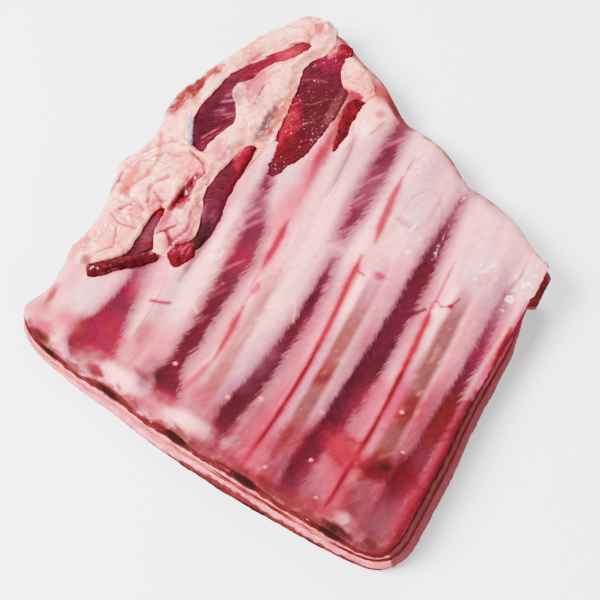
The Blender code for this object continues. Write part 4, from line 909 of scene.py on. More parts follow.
def tissue(name, angle, streaks, mottling, relief, roughness, under_skin, fingers=0.0, specks=0.0):
    """Material of a moist tissue: laid-on colours, feathered bands, fibres, specks, mottling and gloss."""
    made = bpy.data.materials.new(name)
    made.use_nodes = True
    tree = made.node_tree
    shader = tree.nodes["Principled BSDF"]
    where = add_node(tree, "ShaderNodeTexCoord")
    place = add_node(tree, "ShaderNodeMapping", {}, Vector=where.outputs["Object"],
                     Scale=(1000,) * 3).outputs[0]
    laid = {key: add_node(tree, "ShaderNodeAttribute", {"attribute_name": key})
            for key in ("tint", "ink", "band", "side", "gloss")}
    gloss = laid["gloss"].outputs["Fac"]
    colour = laid["tint"].outputs["Color"]
    if fingers:
        share = band_share(tree, place, laid, angle, fingers)
        colour = blend_colour(tree, share, colour, laid["ink"].outputs["Color"])

    fibres = stretched(tree, place, angle, 6.0, 0.45, 4.0)
    brightness = calculate(tree, "MULTIPLY_ADD", between(tree, fibres, 0.3, 0.7, -1.0, 1.0), streaks, 1.0)
    value = between(tree, cloud(tree, place, 0.4, 6.0, 0.72), 0.25, 0.75, 1 - mottling, 1 + mottling)
    value = calculate(tree, "MULTIPLY", value, brightness)
    colour = add_node(tree, "ShaderNodeHueSaturation", {}, Value=value, Saturation=1.0,
                      Color=colour).outputs[0]
    if specks:
        flecks = between(tree, cloud(tree, place, 1.25, 2.0, 0.6), 0.63, 0.74)
        patches = between(tree, cloud(tree, place, 0.16, 1.0, 0.5), 0.42, 0.52)
        share = calculate(tree, "MULTIPLY", calculate(tree, "MULTIPLY", flecks, patches), specks)
        colour = blend_colour(tree, share, colour, SPECK_COLOUR)
    tree.links.new(colour, shader.inputs["Base Color"])

    rough = between(tree, cloud(tree, place, 0.22, 2.0, 0.5), 0.35, 0.65, *roughness)
    rough = calculate(tree, "SUBTRACT", rough, calculate(tree, "MULTIPLY", gloss, 0.15))
    tree.links.new(rough, shader.inputs["Roughness"])
    levels = calculate(tree, "MULTIPLY_ADD", fibres, 0.6, cloud(tree, place, 1.1, 4.0, 0.55))
    bump = add_node(tree, "ShaderNodeBump", {}, Strength=1.0, Distance=relief * MM, Height=levels)
    tree.links.new(bump.outputs[0], shader.inputs["Normal"])
    tree.links.new(between(tree, gloss, 0.2, 1.6), shader.inputs["Coat Weight"])
    for key, setting in (("Subsurface Weight", under_skin), ("Subsurface Radius", (1.0, 0.35, 0.25)),
                         ("Subsurface Scale", 0.0012), ("Coat Roughness", 0.12), ("Specular IOR Level", 0.0)):
        shader.inputs[key].default_value = setting
    return made


# ---- The chest wall and the layers under it --------------------------------------------------------------
def side_shares(u, v, w):
    """Which of a layer's points are on its front, right, back and left sides."""
    on_rim = w < TOP_SHARE
    return on_rim & (v < TINY), on_rim & (u > 1 - TINY), on_rim & (v > 1 - TINY), on_rim & (u < TINY)


def bank(x, y):
    """How far the membrane rises to meet the edge of the flank muscle, mm."""
    outside = np.maximum(x - line(MUSCLE_RIGHT, y), 0)
    rise = 2.2 * ease((y - 32) / 9) * ease((93 - y) / 6) * ease(1 - outside / 8)
    return rise * (x > line(MUSCLE_LEFT, y) - 3)


def paint_cut_side(canvas, around, depth, side, front, right):
    """The cut sides of the chest wall: depth is the share of the way down, and fat ends the front one."""
    ragged = depth + 0.1 * noise(around, 6 * depth, 2.6, 63, 4)
    meat = side * ease((ragged + 0.06) / 0.06)
    canvas.lay(meat, "red brown", 0.95)
    canvas.streaks([((3.6, 1.1), 61, 4, 14, 2.2, 0.5, "brown", 0.8)], meat, around, 10 * depth)
    canvas.streaks([((4, 1.0), 65, 4, 10, 3, -0.4, "flush", 0.7),
                    ((2.4, 0.9), 66, 4, -8, 3, -0.9, "fat pink", 0.8)],
                   meat, around, 12 * depth)
    fat = side * ease((ragged - np.where(front, 0.74, 2.0)) / 0.1)
    canvas.lay(fat, "membrane", 0.9)
    canvas.lay(fat * ease((around + 20) / 50), "cut fat", 0.7)
    canvas.streaks([((4, 1.2), 68, 4, 12, 3, -0.3, "fat pink", 0.7),
                    ((3, 1.0), 70, 4, -12, 3, -0.6, "stain", 0.7)],
                   fat, around, 10 * depth)
    lower = right * ease((depth - 0.3) / 0.08)
    canvas.lay(right * ease((depth - 0.04) / 0.03), "brown", 0.95)
    canvas.lay(lower, "mauve", 0.9)
    canvas.streaks([((8, 2), 69, 3, 0, 1, 0.3, "stain", 0.5)], lower, around, 8 * depth)
    canvas.lay(right * ease((around - 16) / 5), "bright red", 0.6)
    canvas.streaks([((4, 1.4), 60, 3, 0, 1, 0.6, "pink", 0.5)],
                   right * ease((around + 3) / 5) * ease((19 - around) / 4), around, 8 * depth)


def make_chest_wall(looks):
    u, v, w, faces = shell(246, 280, 17)

    def top(x, y, edge):
        return wall_top(x, y) - RIM_ROUNDING * np.clip(1 - edge / RIM_REACH, 0, 1) ** 2

    x, y, z, edge, out_x, out_y, _ = layer_points(
        u, v, w, lambda x, y, edge: wall_bottom(x, y), top, tab=MEMBRANE_TAB)
    canvas = Canvas(x, y, z, "membrane")
    paint_membrane(canvas)
    front, right, back, left = side_shares(u, v, w)
    side, top_face = front | right | back | left, w > TOP_SHARE
    around = np.where(front | back, x, y)
    rim = ease((1.4 + 2.6 * noise(x, y, (4.5, 2.4), 58, 3, -20) - v * 105) / 1.3) * top_face
    canvas.lay(rim, "stain", 0.75, 1)
    canvas.lay(ease((1.0 + 1.2 * noise(x, y, (5, 2), 59, 3) - (1 - v) * 110) / 0.8) * top_face, "tan", 0.7, 1)
    paint_cut_side(canvas, around, 1 - w, side, front, right)
    canvas.band = np.where((rim > 0.4) | side, OUTSIDE, canvas.band)
    canvas.gloss = np.where(side, -0.6, canvas.gloss)

    rough = 0.55 * noise(around, 9 * w, 3.0, 67, 3) + 0.35 * noise(around, 9 * w, 1.4, 64, 2)
    rough = rough * (side & (w > 0.02))
    for rib in RIBS:
        _, half_width, half_height, end, _ = bone_section(rib, 0.0)
        for side_on, wanted in ((front, True), (back, end is None)):
            if wanted:
                mouth_x, mouth_z = bone_mouth(rib, side_on is back)
                reach = np.hypot((x - mouth_x) / (half_width + 0.9), (z - mouth_z) / (half_height + 0.5))
                reach = reach + 0.4 * noise(x, 3 * z, 2.0, 62, 3)
                pit = ease((1.1 - reach) / 0.35) * side_on
                rough = rough * (1 - pit) - 0.5 * pit
                canvas.lay(pit, "brown", 0.95)
                canvas.lay(ease((0.85 - reach) / 0.3) * side_on, "black brown", 0.9)
    x, y = x + out_x * rough, y + out_y * rough
    depth, seat = covered(x, y)
    z = z + (canvas.rise + bank(x, y)) * top_face * np.clip(edge / 2, 0, 1)
    ground = wall_bottom(x, y) + seat + lift(x, y)
    under = ease((depth + 0.5 * noise(x, y, 2.2, 57, 2) - 0.5) / 0.7) * (w > 0.3)
    z = np.where(under > 0, np.minimum(z, z * (1 - under) + ground * under), z)
    make_piece("chest_wall_surface", x, y, z, faces, canvas, looks["membrane"], "chest_wall")


def bone_section(rib, y):
    """Middle of a rib bone across, its half sizes, where it ends, and its middle's height."""
    left, right, shift, half_width, half_height, end = RIBS[rib]
    centre = (groove_at(left, y) + groove_at(right, y)) / 2 + shift
    level = wall_bottom(centre, y) + BONE_COVER + half_height
    return float(centre), half_width, half_height, end, float(level)


def bone_mouth(rib, at_back):
    """Middle of a bone's end on the cut side, across and up."""
    edge, y = (BACK_EDGE, 70.0) if at_back else (FRONT_EDGE, -55.0)
    for _ in range(3):
        centre, _, _, _, level = bone_section(rib, y)
        y = float(line(edge, centre))
    return centre, level + float(lift(centre, y))


def make_bone(rib, looks):
    """A rib bone: a tube with hollowed ends, compact bone round dark marrow."""
    start, half_width, half_height, end, _ = bone_section(rib, 0.0)
    steps, sides = 60, 48
    turn = np.linspace(0, 2 * math.pi, sides, endpoint=False)
    hollow = ((0.0, 1.1), (0.25, 1.0), (0.5, 0.9), (0.72, 0.7), (0.86, 0.3))
    rings = [(wide, 0.0, deep) for wide, deep in hollow]
    rings += [(1.0, share, 0.0) for share in np.linspace(0, 1, steps)]
    rings += [(wide, 1.0, -deep) for wide, deep in reversed(hollow)]
    xs, ys, zs, rims = [], [], [], []
    for wide, share, deep in rings:
        middle = start
        for _ in range(3):
            front = float(line(FRONT_EDGE, middle))
            back = end if end is not None else float(line(BACK_EDGE, middle))
            centre_y = front + (back - front) * share
            middle, _, _, _, level = bone_section(rib, centre_y)
        x = middle - half_width * max(wide, 0.02) * np.cos(turn)
        z = level + half_height * max(wide, 0.02) * np.sin(turn)
        front = line(FRONT_EDGE, x) + spread(x, centre_y, z, 0.5, 0.0)[1] + END_RECESS
        sawn = line(BACK_EDGE, x) + spread(x, centre_y, z, 0.5, 1.0)[1] - END_RECESS
        back = end if end is not None else sawn
        xs.append(x)
        ys.append(front + (back - front) * share + deep)
        zs.append(z + float(lift(middle, centre_y)))
        rims.append(np.full(sides, wide))
    x, y, z, wide = (np.concatenate(part) for part in (xs, ys, zs, rims))
    index = np.arange(len(x)).reshape(len(rings), sides)
    faces = np.stack([index[:-1], np.roll(index[:-1], -1, 1), np.roll(index[1:], -1, 1), index[1:]], -1)
    faces = faces.reshape(-1, 4).tolist() + [index[0].tolist()[::-1], index[-1].tolist()]
    canvas = Canvas(x, y, z, "stain")
    canvas.gloss[:] = 0.0
    canvas.streaks([(1.3, 72, 3, 0, 3, -0.3, "tan", 0.8)])
    canvas.lay(ease((0.97 - wide) / 0.2), "black brown", 0.95)
    canvas.streaks([(1.1, 74, 3, 0, 4, -1.4, "tan", 0.6)], wide < 0.95)
    canvas.streaks([(1.6, 71, 2, 0, 2, 0, "stain", 0.5)], wide < 0.9)
    make_piece(rib + "_bone", x, y, z, faces, canvas, looks["bone"], rib)


def make_lean(looks):
    u, v, w, faces = shell(180, 190, 6)
    x, y, z, _, out_x, out_y, near = layer_points(
        u, v, w, lambda x, y, edge: lean_bottom(x, y) - 0.9 * GAP,
        lambda x, y, edge: wall_bottom(x, y) - 0.1 * GAP, tab=LEAN_TAB)
    around = np.where(np.minimum(v, 1 - v) < TINY, x, y)
    front = v < TINY
    canvas = Canvas(x, y, z, "red brown")
    canvas.streaks([((4, 1), 73, 3, 0, 1, 0.5, "brown", 0.7)], 1.0, around, 5 * w)
    pale = ease(0.5 + 1.6 * noise(around, 2 * w, (9, 2), 75, 2) + 0.9 * ease((4 - around) / 16) - 0.2)
    canvas.lay(pale * front * ease((46 - around) / 8), "fat pink", 0.8)
    canvas.streaks([((3, 1.2), 76, 4, 0, 3, 0.2, "flush", 0.6)], front, around, 3 * w)
    canvas.lay(u > 1 - TINY, "red brown", 0.7)
    tab = ease((x - 62) / 1.5) * ease((y - 26) / 2)
    canvas.lay(tab, "tan", 0.95)
    canvas.streaks([((3, 1.2), 79, 3, 0, 1.6, 0.4, "fat shade", 0.7),
                    (1.6, 74, 3, 0, 2.4, -0.5, "brown", 0.7)],
                   tab, 3 * x, y + 4 * w)
    canvas.gloss[:] = -0.8
    rough = (0.1 + 0.35 * noise(around, 4 * w, 2.6, 77, 2)) * near
    x, y = x + out_x * rough, y + out_y * rough
    make_piece("lean_seam", x, y, z, faces, canvas, looks["meat"], "lean_layer")


def make_cap(looks):
    u, v, w, faces = shell(200, 220, 15, fine_top=False)
    x, y, z, edge, out_x, out_y, near = layer_points(
        u, v, w, lambda x, y, edge: CAP_ROUNDING * np.clip(1 - edge / CAP_REACH, 0, 1) ** 2,
        lambda x, y, edge: lean_bottom(x, y) - GAP, rounding=0.6)
    canvas = Canvas(x, y, z, "rose")
    front, right = v < TINY, u > 1 - TINY
    side, under = near > 0.9, near < 0.9
    around = np.where(front | (v > 1 - TINY), x, y)
    places = {"mask": 1.0, "p": around, "q": 8 * w}
    canvas.streaks([((5, 2.2), 81, 4, 24, 1.8, 0.45, "membrane", 0.85),
                    ((4, 1.6), 80, 4, 14, 3, -0.8, "fat pink", 0.7)],
                   **places)
    canvas.lay(front * ease((x + 10) / 50), "cut fat", 0.4)
    canvas.streaks([((4, 1.3), 83, 4, -18, 2.8, -0.3, "pink", 0.6),
                    ((2.6, 0.9), 84, 4, 20, 3, -0.8, "flush", 0.7),
                    ((3.0, 0.8), 82, 4, 10, 3, -1.2, "tan", 0.8)], **places)
    foot = np.where(front, line(RAGGED_FOOT, x), 0.3) + 0.3 * noise(around, 0 * w, 3.4, 85, 4)
    low = side * ease((foot - w) / 0.12)
    canvas.lay(low, "red brown", 0.9)
    canvas.streaks([((4, 1.2), 86, 3, 0, 3, -0.6, "flush", 0.6)], low, around, 8 * w)
    canvas.streaks([(3, 87, 3, 0, 1, 0.4, "brown", 0.8)], side * ease((foot - 0.25 - w) / 0.1), around, 8 * w)
    for start, end in DARK_FOOT:
        bit = ease((around - start + 1) / 1.5) * ease((end + 1 - around) / 1.5)
        bit = front * bit * ease((0.42 + 0.2 * noise(around, 4 * w, 1.6, 90, 3) - w) / 0.1)
        canvas.lay(bit, "black brown", 0.7)
    canvas.lay(right, "mauve", 0.9)
    canvas.streaks([((9, 3), 88, 3, 0, 1.3, 0.3, "tan", 0.7)], right, around, 8 * w)
    canvas.streaks([(12, 89, 3, 0, 1, 0.4, "fat", 0.7), ((16, 5), 91, 3, 0, 2, -0.6, "rose", 0.6)],
                   under, x, y)
    canvas.gloss[:] = -0.4
    rough = (0.45 * noise(around, 8 * w, (6, 2.2), 93, 3) + 0.2 * noise(around, 9 * w, 1.3, 94, 2)) * near
    x, y = x + out_x * rough, y + out_y * rough
    z = z + under * (w < 0.5) * 0.25 * (1 + noise(x, y, 9, 95, 3)) * np.clip(edge / 6, 0, 1)
    make_piece("fat_cap_surface", x, y, z, faces, canvas, looks["fat"], "fat_cap")


# ---- The flap --------------------------------------------------------------------------------------------
def fall(distance, whole, kept, fullness):
    """Share of the crown's height at a distance from one border of a piece that is `whole` wide."""
    if kept:
        return kept + (1 - kept) * ease(distance / np.minimum(3.4, whole / 2))
    return (1 - np.clip(1 - 2 * distance / whole, 0, 1) ** 2.4) ** fullness


def lens(name, cell=0.42):
    """Points, rises and faces of a piece of the flap: its top, a low side all round and a flat underside."""
    first, last, left_line, right_line, seat, fullness, kept, crown, over = LOBES[name]
    over_left, over_right, over_front, over_back = over
    rows = max(int((last - first + over_front + over_back) / cell), 12)
    places = np.linspace(first - over_front, last + over_back, rows + 1)
    inner = np.clip(places, first, last)
    ends = 1 - 0.75 * (last - first <= 12) * np.abs(np.linspace(-1, 1, rows + 1)) ** 6
    swing = 1.1 if name in ("small_meat", "meat_tip") else 0.6
    wave = [swing * noise(places, row + 0 * places, 2.6, seed, 3) for row, seed in ((0, len(name)), (9, 7))]
    bare = ease((inner - 31.5) / 3) * ease((87.5 - inner) / 3) * (1 + 0.7 * ease((inner - 58) / 8))
    if name == "inner_fat":
        over_left, over_right = over_left - 1.6 * bare, over_right - 0.9
    elif name == "outer_fat":
        over_right = over_right - 1.4 * bare
    elif name == "flank_muscle":
        over_left, over_right = (over * ease((inner - 35) / 5) for over in (over_left, over_right))
        wave = [part * ease((inner - 36) / 5) for part in wave]
    left = line(left_line, inner) - over_left + wave[0] * (0.4 if left_line is LEFT_EDGE else 1)
    right = line(right_line, inner) + over_right + wave[1]
    middle = (left + right) / 2
    left, right = middle + (left - middle) * ends, middle + (right - middle) * ends
    columns = int(np.clip((right - left).max() / cell, 14, 64))
    u = np.tile(np.linspace(0, 1, columns + 1), (rows + 1, 1))
    width = (right - left)[:, None]
    x, y = left[:, None] + width * u, np.repeat(places[:, None], columns + 1, 1)
    long = min(14, places[-1] - places[0])
    rise = (fall(u * width, width, kept[0], fullness) * fall((1 - u) * width, width, kept[1], fullness)
            * fall(y - places[0], long, kept[2], fullness) * fall(places[-1] - y, long, kept[3], fullness))
    low = wall_bottom(x, y) + seat - SINK
    top = low + (crown - low) * rise
    x, y, low, top, rise = (np.pad(part, 1, mode="edge") for part in (x, y, low, top, rise))
    x[:, 0], x[:, -1], y[0], y[-1] = x[:, 0] - RIM_OUT, x[:, -1] + RIM_OUT, y[0] - RIM_OUT, y[-1] + RIM_OUT
    edge = np.ones(x.shape, bool)
    edge[1:-1, 1:-1] = False
    top[edge], rise[edge] = low[edge], 0.0
    return closed_sheet(x, y, top, low, edge, rise)


def make_lobe(looks, name, base, material, slot, paint, big, small):
    """A piece of the flap, with big and small lumps of these heights in mm."""
    x, y, z, rise, faces = lens(name)
    canvas = Canvas(x, y, z, base)
    relief = big * canvas.uneven(6.5, 101, 2) + small * canvas.uneven(2.0, 103, 2)
    # Fat is painted whiter on its rises and pinker in its hollows: partly the fat's own colour, partly
    # painted highlight and painted shade.
    if "fat" in name:
        canvas.lay(ease(-relief / big * 1.5 - 0.05), "pink", 0.5)
        canvas.lay(ease(relief / big * 1.6 - 0.1), "fat", 0.8)
    paint(canvas)
    relief = relief + canvas.rise
    for middle_x, middle_y, half_x, half_y, angle, form in FORMS if "fat" in name else ():
        turn = math.radians(angle)
        p = ((x - middle_x) * math.cos(turn) + (y - middle_y) * math.sin(turn)) / half_x
        q = ((y - middle_y) * math.cos(turn) - (x - middle_x) * math.sin(turn)) / half_y
        relief = relief + form * np.exp(-p ** 2 - q ** 2)
    z = np.minimum(z + relief * np.clip(rise * 1.4, 0, 1), HIGHEST)
    make_piece(name + "_surface", x, y, z, faces, canvas, looks[material], name)


def paint_fat(canvas):
    canvas.streaks([(9, 111, 3, 0, 1.6, 0.1, "rose", 0.25), ((9, 2.4), 113, 3, 62, 2.4, -0.6, "rose", 0.4),
                    ((6, 1.2), 117, 3, 58, 2.6, -0.8, "flush", 0.25),
                    (3.5, 115, 3, 0, 2.5, -0.7, "white", 0.7)])
    low = ease((34 - canvas.y) / 12)
    canvas.gloss[:] = 0.5 + 1.3 * ease(0.4 + 1.4 * canvas.uneven(5, 118, 2))
    crease = canvas.crease((9, 4), 119, 60, 0.16) * ease(0.3 + 1.5 * canvas.uneven(7, 124, 2))
    folds = canvas.crease((6, 3.6), 122, 40, 0.2) * low * ease(0.4 + 1.5 * canvas.uneven(6, 125, 2))
    nodules = ease(canvas.uneven(2.6, 121, 2) * 2.2 - 0.5) * (0.45 + 0.55 * low)
    # Creases are painted in the fat's shade colour and folds pinker, which is painted shade; the nodules are
    # painted whiter.
    for mask, name, strength in ((crease, "fat shade", 0.4), (folds, "flush", 0.5), (nodules, "white", 0.6)):
        canvas.lay(mask, name, strength)
    canvas.rise += 0.55 * nodules - 0.4 * crease - 0.9 * folds
    canvas.spots(FAT_SPOTS)
    fibrous = canvas.spot(-47.5, 63, 6, 12, 20, 0.6)
    canvas.streaks([((12, 1.1), 126, 3, 62, 3, 0.1, "pink", 0.55),
                    ((10, 0.9), 127, 3, 62, 3, -0.6, "lilac", 0.4)], fibrous)
    canvas.rise += 0.25 * fibrous * canvas.uneven((12, 1.1), 126, 3, 62)
    cleft = canvas.spot(-49.2, 16.5, 1.7, 5.2, -6, 0.5)
    canvas.lay(cleft, "crimson", 0.75)
    canvas.lay(canvas.spot(-49.2, 17.5, 1.0, 3, -6, 0.5), "ink", 0.9)
    canvas.rise -= 1.2 * cleft
    for half, name, strength, rise, points in FAT_FOLDS:
        mask = canvas.stroke(points, half)
        canvas.lay(mask, name, strength)
        canvas.rise += rise * mask


def paint_valley(canvas):
    canvas.spots([(-42.5, 78, 3.8, 6.4, -30, "bright red", 1), (-42, 78.6, 1.4, 4, -30, 0.8, "pink", 0.4),
                  (-47, 72.5, 3, 4, -30, "crimson", 0.9), (-50, 67, 2.4, 4, -30, "red", 0.6),
                  (-51, 73, 1.7, 4, -30, "fat", 0.9), (-54.5, 44, 4.8, 11, "ink", 0.9),
                  (-50.4, 51, 2.4, 5, -30, "plum", 0.7)])
    canvas.streaks([((9, 0.9), 128, 3, 40, 3, 0.3, "lavender", 0.85)],
                   canvas.spot(-49.5, 57, 2.8, 8, -14, 0.8))
    canvas.lay(canvas.stroke([(-60, 42), (-58, 38), (-56, 34)], 0.9), "bluish", 0.95)
    canvas.lay(canvas.stroke([(-53.4, 37), (-50, 43)], 0.22, 0.4), "rose", 0.6)
    canvas.lay(canvas.stroke([(-52.6, 35.6), (-48, 44)], 0.2, 0.4), "pink", 0.5)


def paint_flank(canvas):
    canvas.spots([(-29, 81, 5, 3.5, "crimson", 0.95), (-26.5, 88, 3.4, 3.6, "red", 0.95),
                  (-28.5, 75, 7, 5.2, "plum", 0.35), (-24, 62, 6, 9, "brown", 0.55),
                  (-31.5, 52, 2.6, 11, "bright red", 1), (-29.6, 50, 3, 10, "bright red", 0.8),
                  (-25.5, 45, 4, 8, "dark red", 0.8), (-29, 36.5, 2, 2, "ink", 0.8),
                  (-31, 87, 2.2, 3.2, 20, "fat pink", 0.9), (-20, 66, 1.4, 8, "tan", 0.6)])
    canvas.streaks([((5, 0.8), 121, 3, 58, 3, -1.0, "flush", 0.4)])
    for points in ([(-34, 71), (-30, 73.4), (-26, 74)], [(-32, 62), (-27, 64), (-23, 68)],
                   [(-29, 53), (-25, 57), (-22, 62)]):
        canvas.lay(canvas.stroke(points, 0.25, 0.3), "tan", 0.6)


def paint_dark(canvas):
    canvas.streaks([(4, 131, 3, 0, 1, 0.5, "plum", 0.4), ((5, 1.0), 133, 3, 75, 3, -0.8, "lilac", 0.5)])
    canvas.streaks([((7, 0.9), 134, 3, 80, 3, -0.4, "dusk", 0.8)], ease((24 - canvas.y) / 10))
    canvas.spots([(-39, 30, 4, 10, 0, 0.7, "maroon", 0.7), (-38.2, 37.5, 1.8, 6, "bright red", 0.8),
                  (-37, 29, 0.9, 7, "red", 0.7), (-40.6, 38.6, 1.2, 4, -6, "fat pink", 0.8),
                  (-40.6, 13, 0.8, 3, 10, "lavender", 0.3), (-52.5, 8, 3, 3.2, "red", 0.9)])
    canvas.lay(canvas.stroke([(-52, 9), (-50.4, 0), (-49, -6)], 0.7), "dark red", 0.9)
    # The black brown spot at (-37, 2) is painted shadow along the skirt strip's right edge.
    canvas.spots([(-53.4, -1, 2.6, 6, "dusk", 0.6), (-37, 2, 2.4, 8, "black brown", 0.7)])


def paint_red(canvas):
    x, y = canvas.x, canvas.y
    canvas.streaks([(2.4, 141, 3, 0, 1.4, 0.5, "red", 0.7), (1.6, 147, 3, 0, 3, -1.1, "fat pink", 0.7),
                    (2.0, 148, 3, 0, 3, -0.9, "maroon", 0.7), (1.8, 143, 3, 0, 3, -1.0, "flush", 0.5)])
    canvas.lay(canvas.spot(-13, 58.5, 1.2, 1.8), "maroon", 0.9)
    tip = ease((x + 46) / 2) * ease((-36 - x) / 2) * ease((y + 4 + 3 * canvas.uneven((1, 4), 149, 3)) / 2)
    canvas.streaks([((1, 4), 146, 3, 0, 2, 0.4, "pink", 0.55)], tip * ease((4 - y) / 1))
    canvas.rise += 0.5 * canvas.uneven(1.7, 145, 3)


def paint_lump(canvas):
    crease = canvas.crease((5, 2.4), 153, 50, 0.09)
    canvas.streaks([(5, 151, 3, 0, 1, 0.5, "fat pink", 0.6)])
    canvas.lay(ease((82 - canvas.y) / 7), "fat pink", 0.6)
    # The creases are painted pinker, which is painted shade.
    canvas.lay(crease, "flush", 0.5)
    blood = ease((75 - canvas.y + 0.8 * canvas.uneven(2, 157, 2)) / 0.8) * ease((-12.6 - canvas.x) / 1)
    canvas.lay(blood, "red", 0.85)
    canvas.rise += 0.4 * canvas.uneven(2.2, 155, 3) - 0.4 * crease


def make_cut_strip(looks):
    """The flap's cut end: a strip of meat with a squared lower end."""
    start, end = np.array(CUT_STRIP_LINE[0]), np.array(CUT_STRIP_LINE[-1])
    slope = (end - start) / np.linalg.norm(end - start)
    columns, rows = 26, 70
    across = 0.5 - 0.5 * np.cos(math.pi * np.linspace(0, 1, columns + 1))
    v, u = np.meshgrid(np.linspace(0, 1, rows + 1), across, indexing="ij")
    spot_x = start[0] + (end[0] - start[0]) * v
    narrow = 1 - 0.3 * np.abs(2 * v - 1) ** 8 - 0.3 * ease((v - 0.25) / 0.25)
    half = (CUT_STRIP_WIDTH / 2 + 0.1) * narrow + 0.6 * noise(spot_x, 6 * u, 2.6, 5, 3)
    x = spot_x + slope[1] * half * (2 * u - 1)
    y = line(CUT_STRIP_LINE, spot_x) - slope[0] * half * (2 * u - 1)
    low = wall_bottom(x, y) + CUT_STRIP_SEAT - SINK
    rise = np.clip((1 - np.abs(2 * u - 1) ** 2.5) * (1 - np.abs(2 * v - 1) ** 14), 0, 1) ** 0.4
    edge = np.zeros(x.shape, bool)
    edge[0], edge[-1], edge[:, 0], edge[:, -1] = True, True, True, True
    top = low + (CUT_STRIP_CROWN - low) * rise
    x, y, z, rise, faces = closed_sheet(x, y, top, low, edge, rise, turned=True)
    canvas = Canvas(x, y, z, "dark red")
    canvas.streaks([(2.6, 161, 4, 0, 1.5, 0.5, "maroon", 0.7), ((4, 1), 163, 4, 38, 3, -0.5, "red", 0.8),
                    ((3, 0.9), 164, 4, 38, 3, -0.7, "lilac", 0.7),
                    (1.4, 166, 3, 0, 4, -2.0, "fat pink", 0.8)])
    canvas.lay(canvas.spot(-65, -21, 1.6, 2.2), "flush", 0.7)
    canvas.gloss = 0.3 + 0.8 * ease(canvas.uneven(1.8, 168, 2) * 3)
    z = z + (0.5 * canvas.uneven(2.6, 165, 3)) * rise
    make_piece("cut_strip_surface", x, y, z, faces, canvas, looks["meat"], "cut_strip")


# ---- Settings, operators and panel ---------------------------------------------------------------------
def colour_setting(name, description, default):
    """A colour that the user may change; a named tint gives its default."""
    if isinstance(default, str):
        default = to_light(np.array(TINTS[default]) / 255.0).tolist()
    return FloatVectorProperty(name=name, description=description, size=3, min=0, max=1, default=default,
                               subtype="COLOR")


def size_setting(name, description, default, largest):
    return FloatProperty(name=name, description=description, default=default, min=0, max=largest,
                         subtype="DISTANCE", unit="LENGTH")


class LambRibsLooks(bpy.types.PropertyGroup):
    white_colour: colour_setting("Membrane, pale", "Colour of the membrane where it is palest", "white")
    rose_colour: colour_setting("Membrane, rose", "Colour of the membrane between the ribs", "rose")
    band_colour: colour_setting("Bands", "Colour of the dark bands between the ribs", "ink")
    vessel_colour: colour_setting("Vessels", "Colour of the vessels and fresh blood", "bright red")
    fat_colour: colour_setting("Fat", "Colour of the flap's fat", "fat")
    muscle_colour: colour_setting("Muscle", "Colour of the cut muscle", "maroon")
    meat_colour: colour_setting("Cut meat", "Colour of the meat on the cut sides", "red brown")
    marrow_colour: colour_setting("Marrow", "Colour of the marrow in the cut bones", "black brown")
    floor_colour: colour_setting("Floor", "Colour of the floor", (0.9, 0.9, 0.9))
    fingers: size_setting("Fingers", "How far the bands' edges feather out", 0.0018, 0.006)
    relief: size_setting("Relief", "Height of the finest unevenness of the tissues", 0.0001, 0.001)
    lamp_distance: size_setting("Lamp distance", "How far the key light stands from the piece", 0.9, 3.0)


def materials():
    """The materials of all pieces, made on the first call."""
    sizes = bpy.context.scene.lamb_ribs
    fine, fingers = sizes.relief / MM, sizes.fingers / MM
    names = {"membrane": ("Moist membrane", 50, 0.08, 0.1, 0.6 * fine, (0.26, 0.42), 0.1, fingers),
             "fat": ("Soft fat", 60, 0.07, 0.1, 3.5 * fine, (0.36, 0.5), 0.2),
             "muscle": ("Dark muscle", 58, 0.35, 0.12, 2.5 * fine, (0.36, 0.5), 0.08, 0.0, 0.7),
             "meat": ("Red meat", 40, 0.3, 0.12, 3.0 * fine, (0.34, 0.5), 0.08),
             "bone": ("Cut bone", 0, 0.1, 0.1, 1.5 * fine, (0.4, 0.6), 0.05)}
    return {key: bpy.data.materials.get(name) or tissue(name, *values)
            for key, (name, *values) in names.items()}


class LAMBRIBS_OT_chest_wall(bpy.types.Operator):
    """Build the membrane, the bands between the ribs and the cut sides of the chest wall"""
    bl_idname = "lamb_ribs.chest_wall"
    bl_label = "Chest wall"

    def execute(self, context):
        make_chest_wall(materials())
        return {"FINISHED"}


class LAMBRIBS_OT_bones(bpy.types.Operator):
    """Build the five rib bones with their cut ends"""
    bl_idname = "lamb_ribs.bones"
    bl_label = "Rib bones"

    def execute(self, context):
        for rib in RIBS:
            make_bone(rib, materials())
        return {"FINISHED"}


class LAMBRIBS_OT_layers(bpy.types.Operator):
    """Build the seam of lean and the cap of fat under the chest wall"""
    bl_idname = "lamb_ribs.layers"
    bl_label = "Lean and fat cap"

    def execute(self, context):
        make_lean(materials())
        make_cap(materials())
        return {"FINISHED"}


class LAMBRIBS_OT_flap_fat(bpy.types.Operator):
    """Build the lobes of fat of the flap"""
    bl_idname = "lamb_ribs.flap_fat"
    bl_label = "Flap: fat"

    def execute(self, context):
        for name, paint, big, small in (("outer_fat", paint_fat, 1.1, 0.5),
                                        ("inner_fat", paint_fat, 1.0, 0.5),
                                        ("fat_lump", paint_lump, 0.7, 0.45)):
            make_lobe(materials(), name, "fat", "fat", "fat", paint, big, small)
        return {"FINISHED"}


class LAMBRIBS_OT_flap_meat(bpy.types.Operator):
    """Build the pieces of meat of the flap"""
    bl_idname = "lamb_ribs.flap_meat"
    bl_label = "Flap: meat"

    def execute(self, context):
        for row in (("valley_meat", "plum", "meat", "muscle", paint_valley, 0.3, 0.25),
                    ("groove_meat", "plum", "meat", "muscle", paint_dark, 0.3, 0.25),
                    ("skirt_strip", "plum", "meat", "muscle", paint_dark, 0.4, 0.35),
                    ("flank_muscle", "maroon", "muscle", "muscle", paint_flank, 0.4, 0.15),
                    ("small_meat", "dark red", "meat", "lean", paint_red, 0.4, 0.5),
                    ("meat_tip", "dark red", "meat", "lean", paint_red, 0.6, 0.7)):
            make_lobe(materials(), *row)
        make_cut_strip(materials())
        return {"FINISHED"}


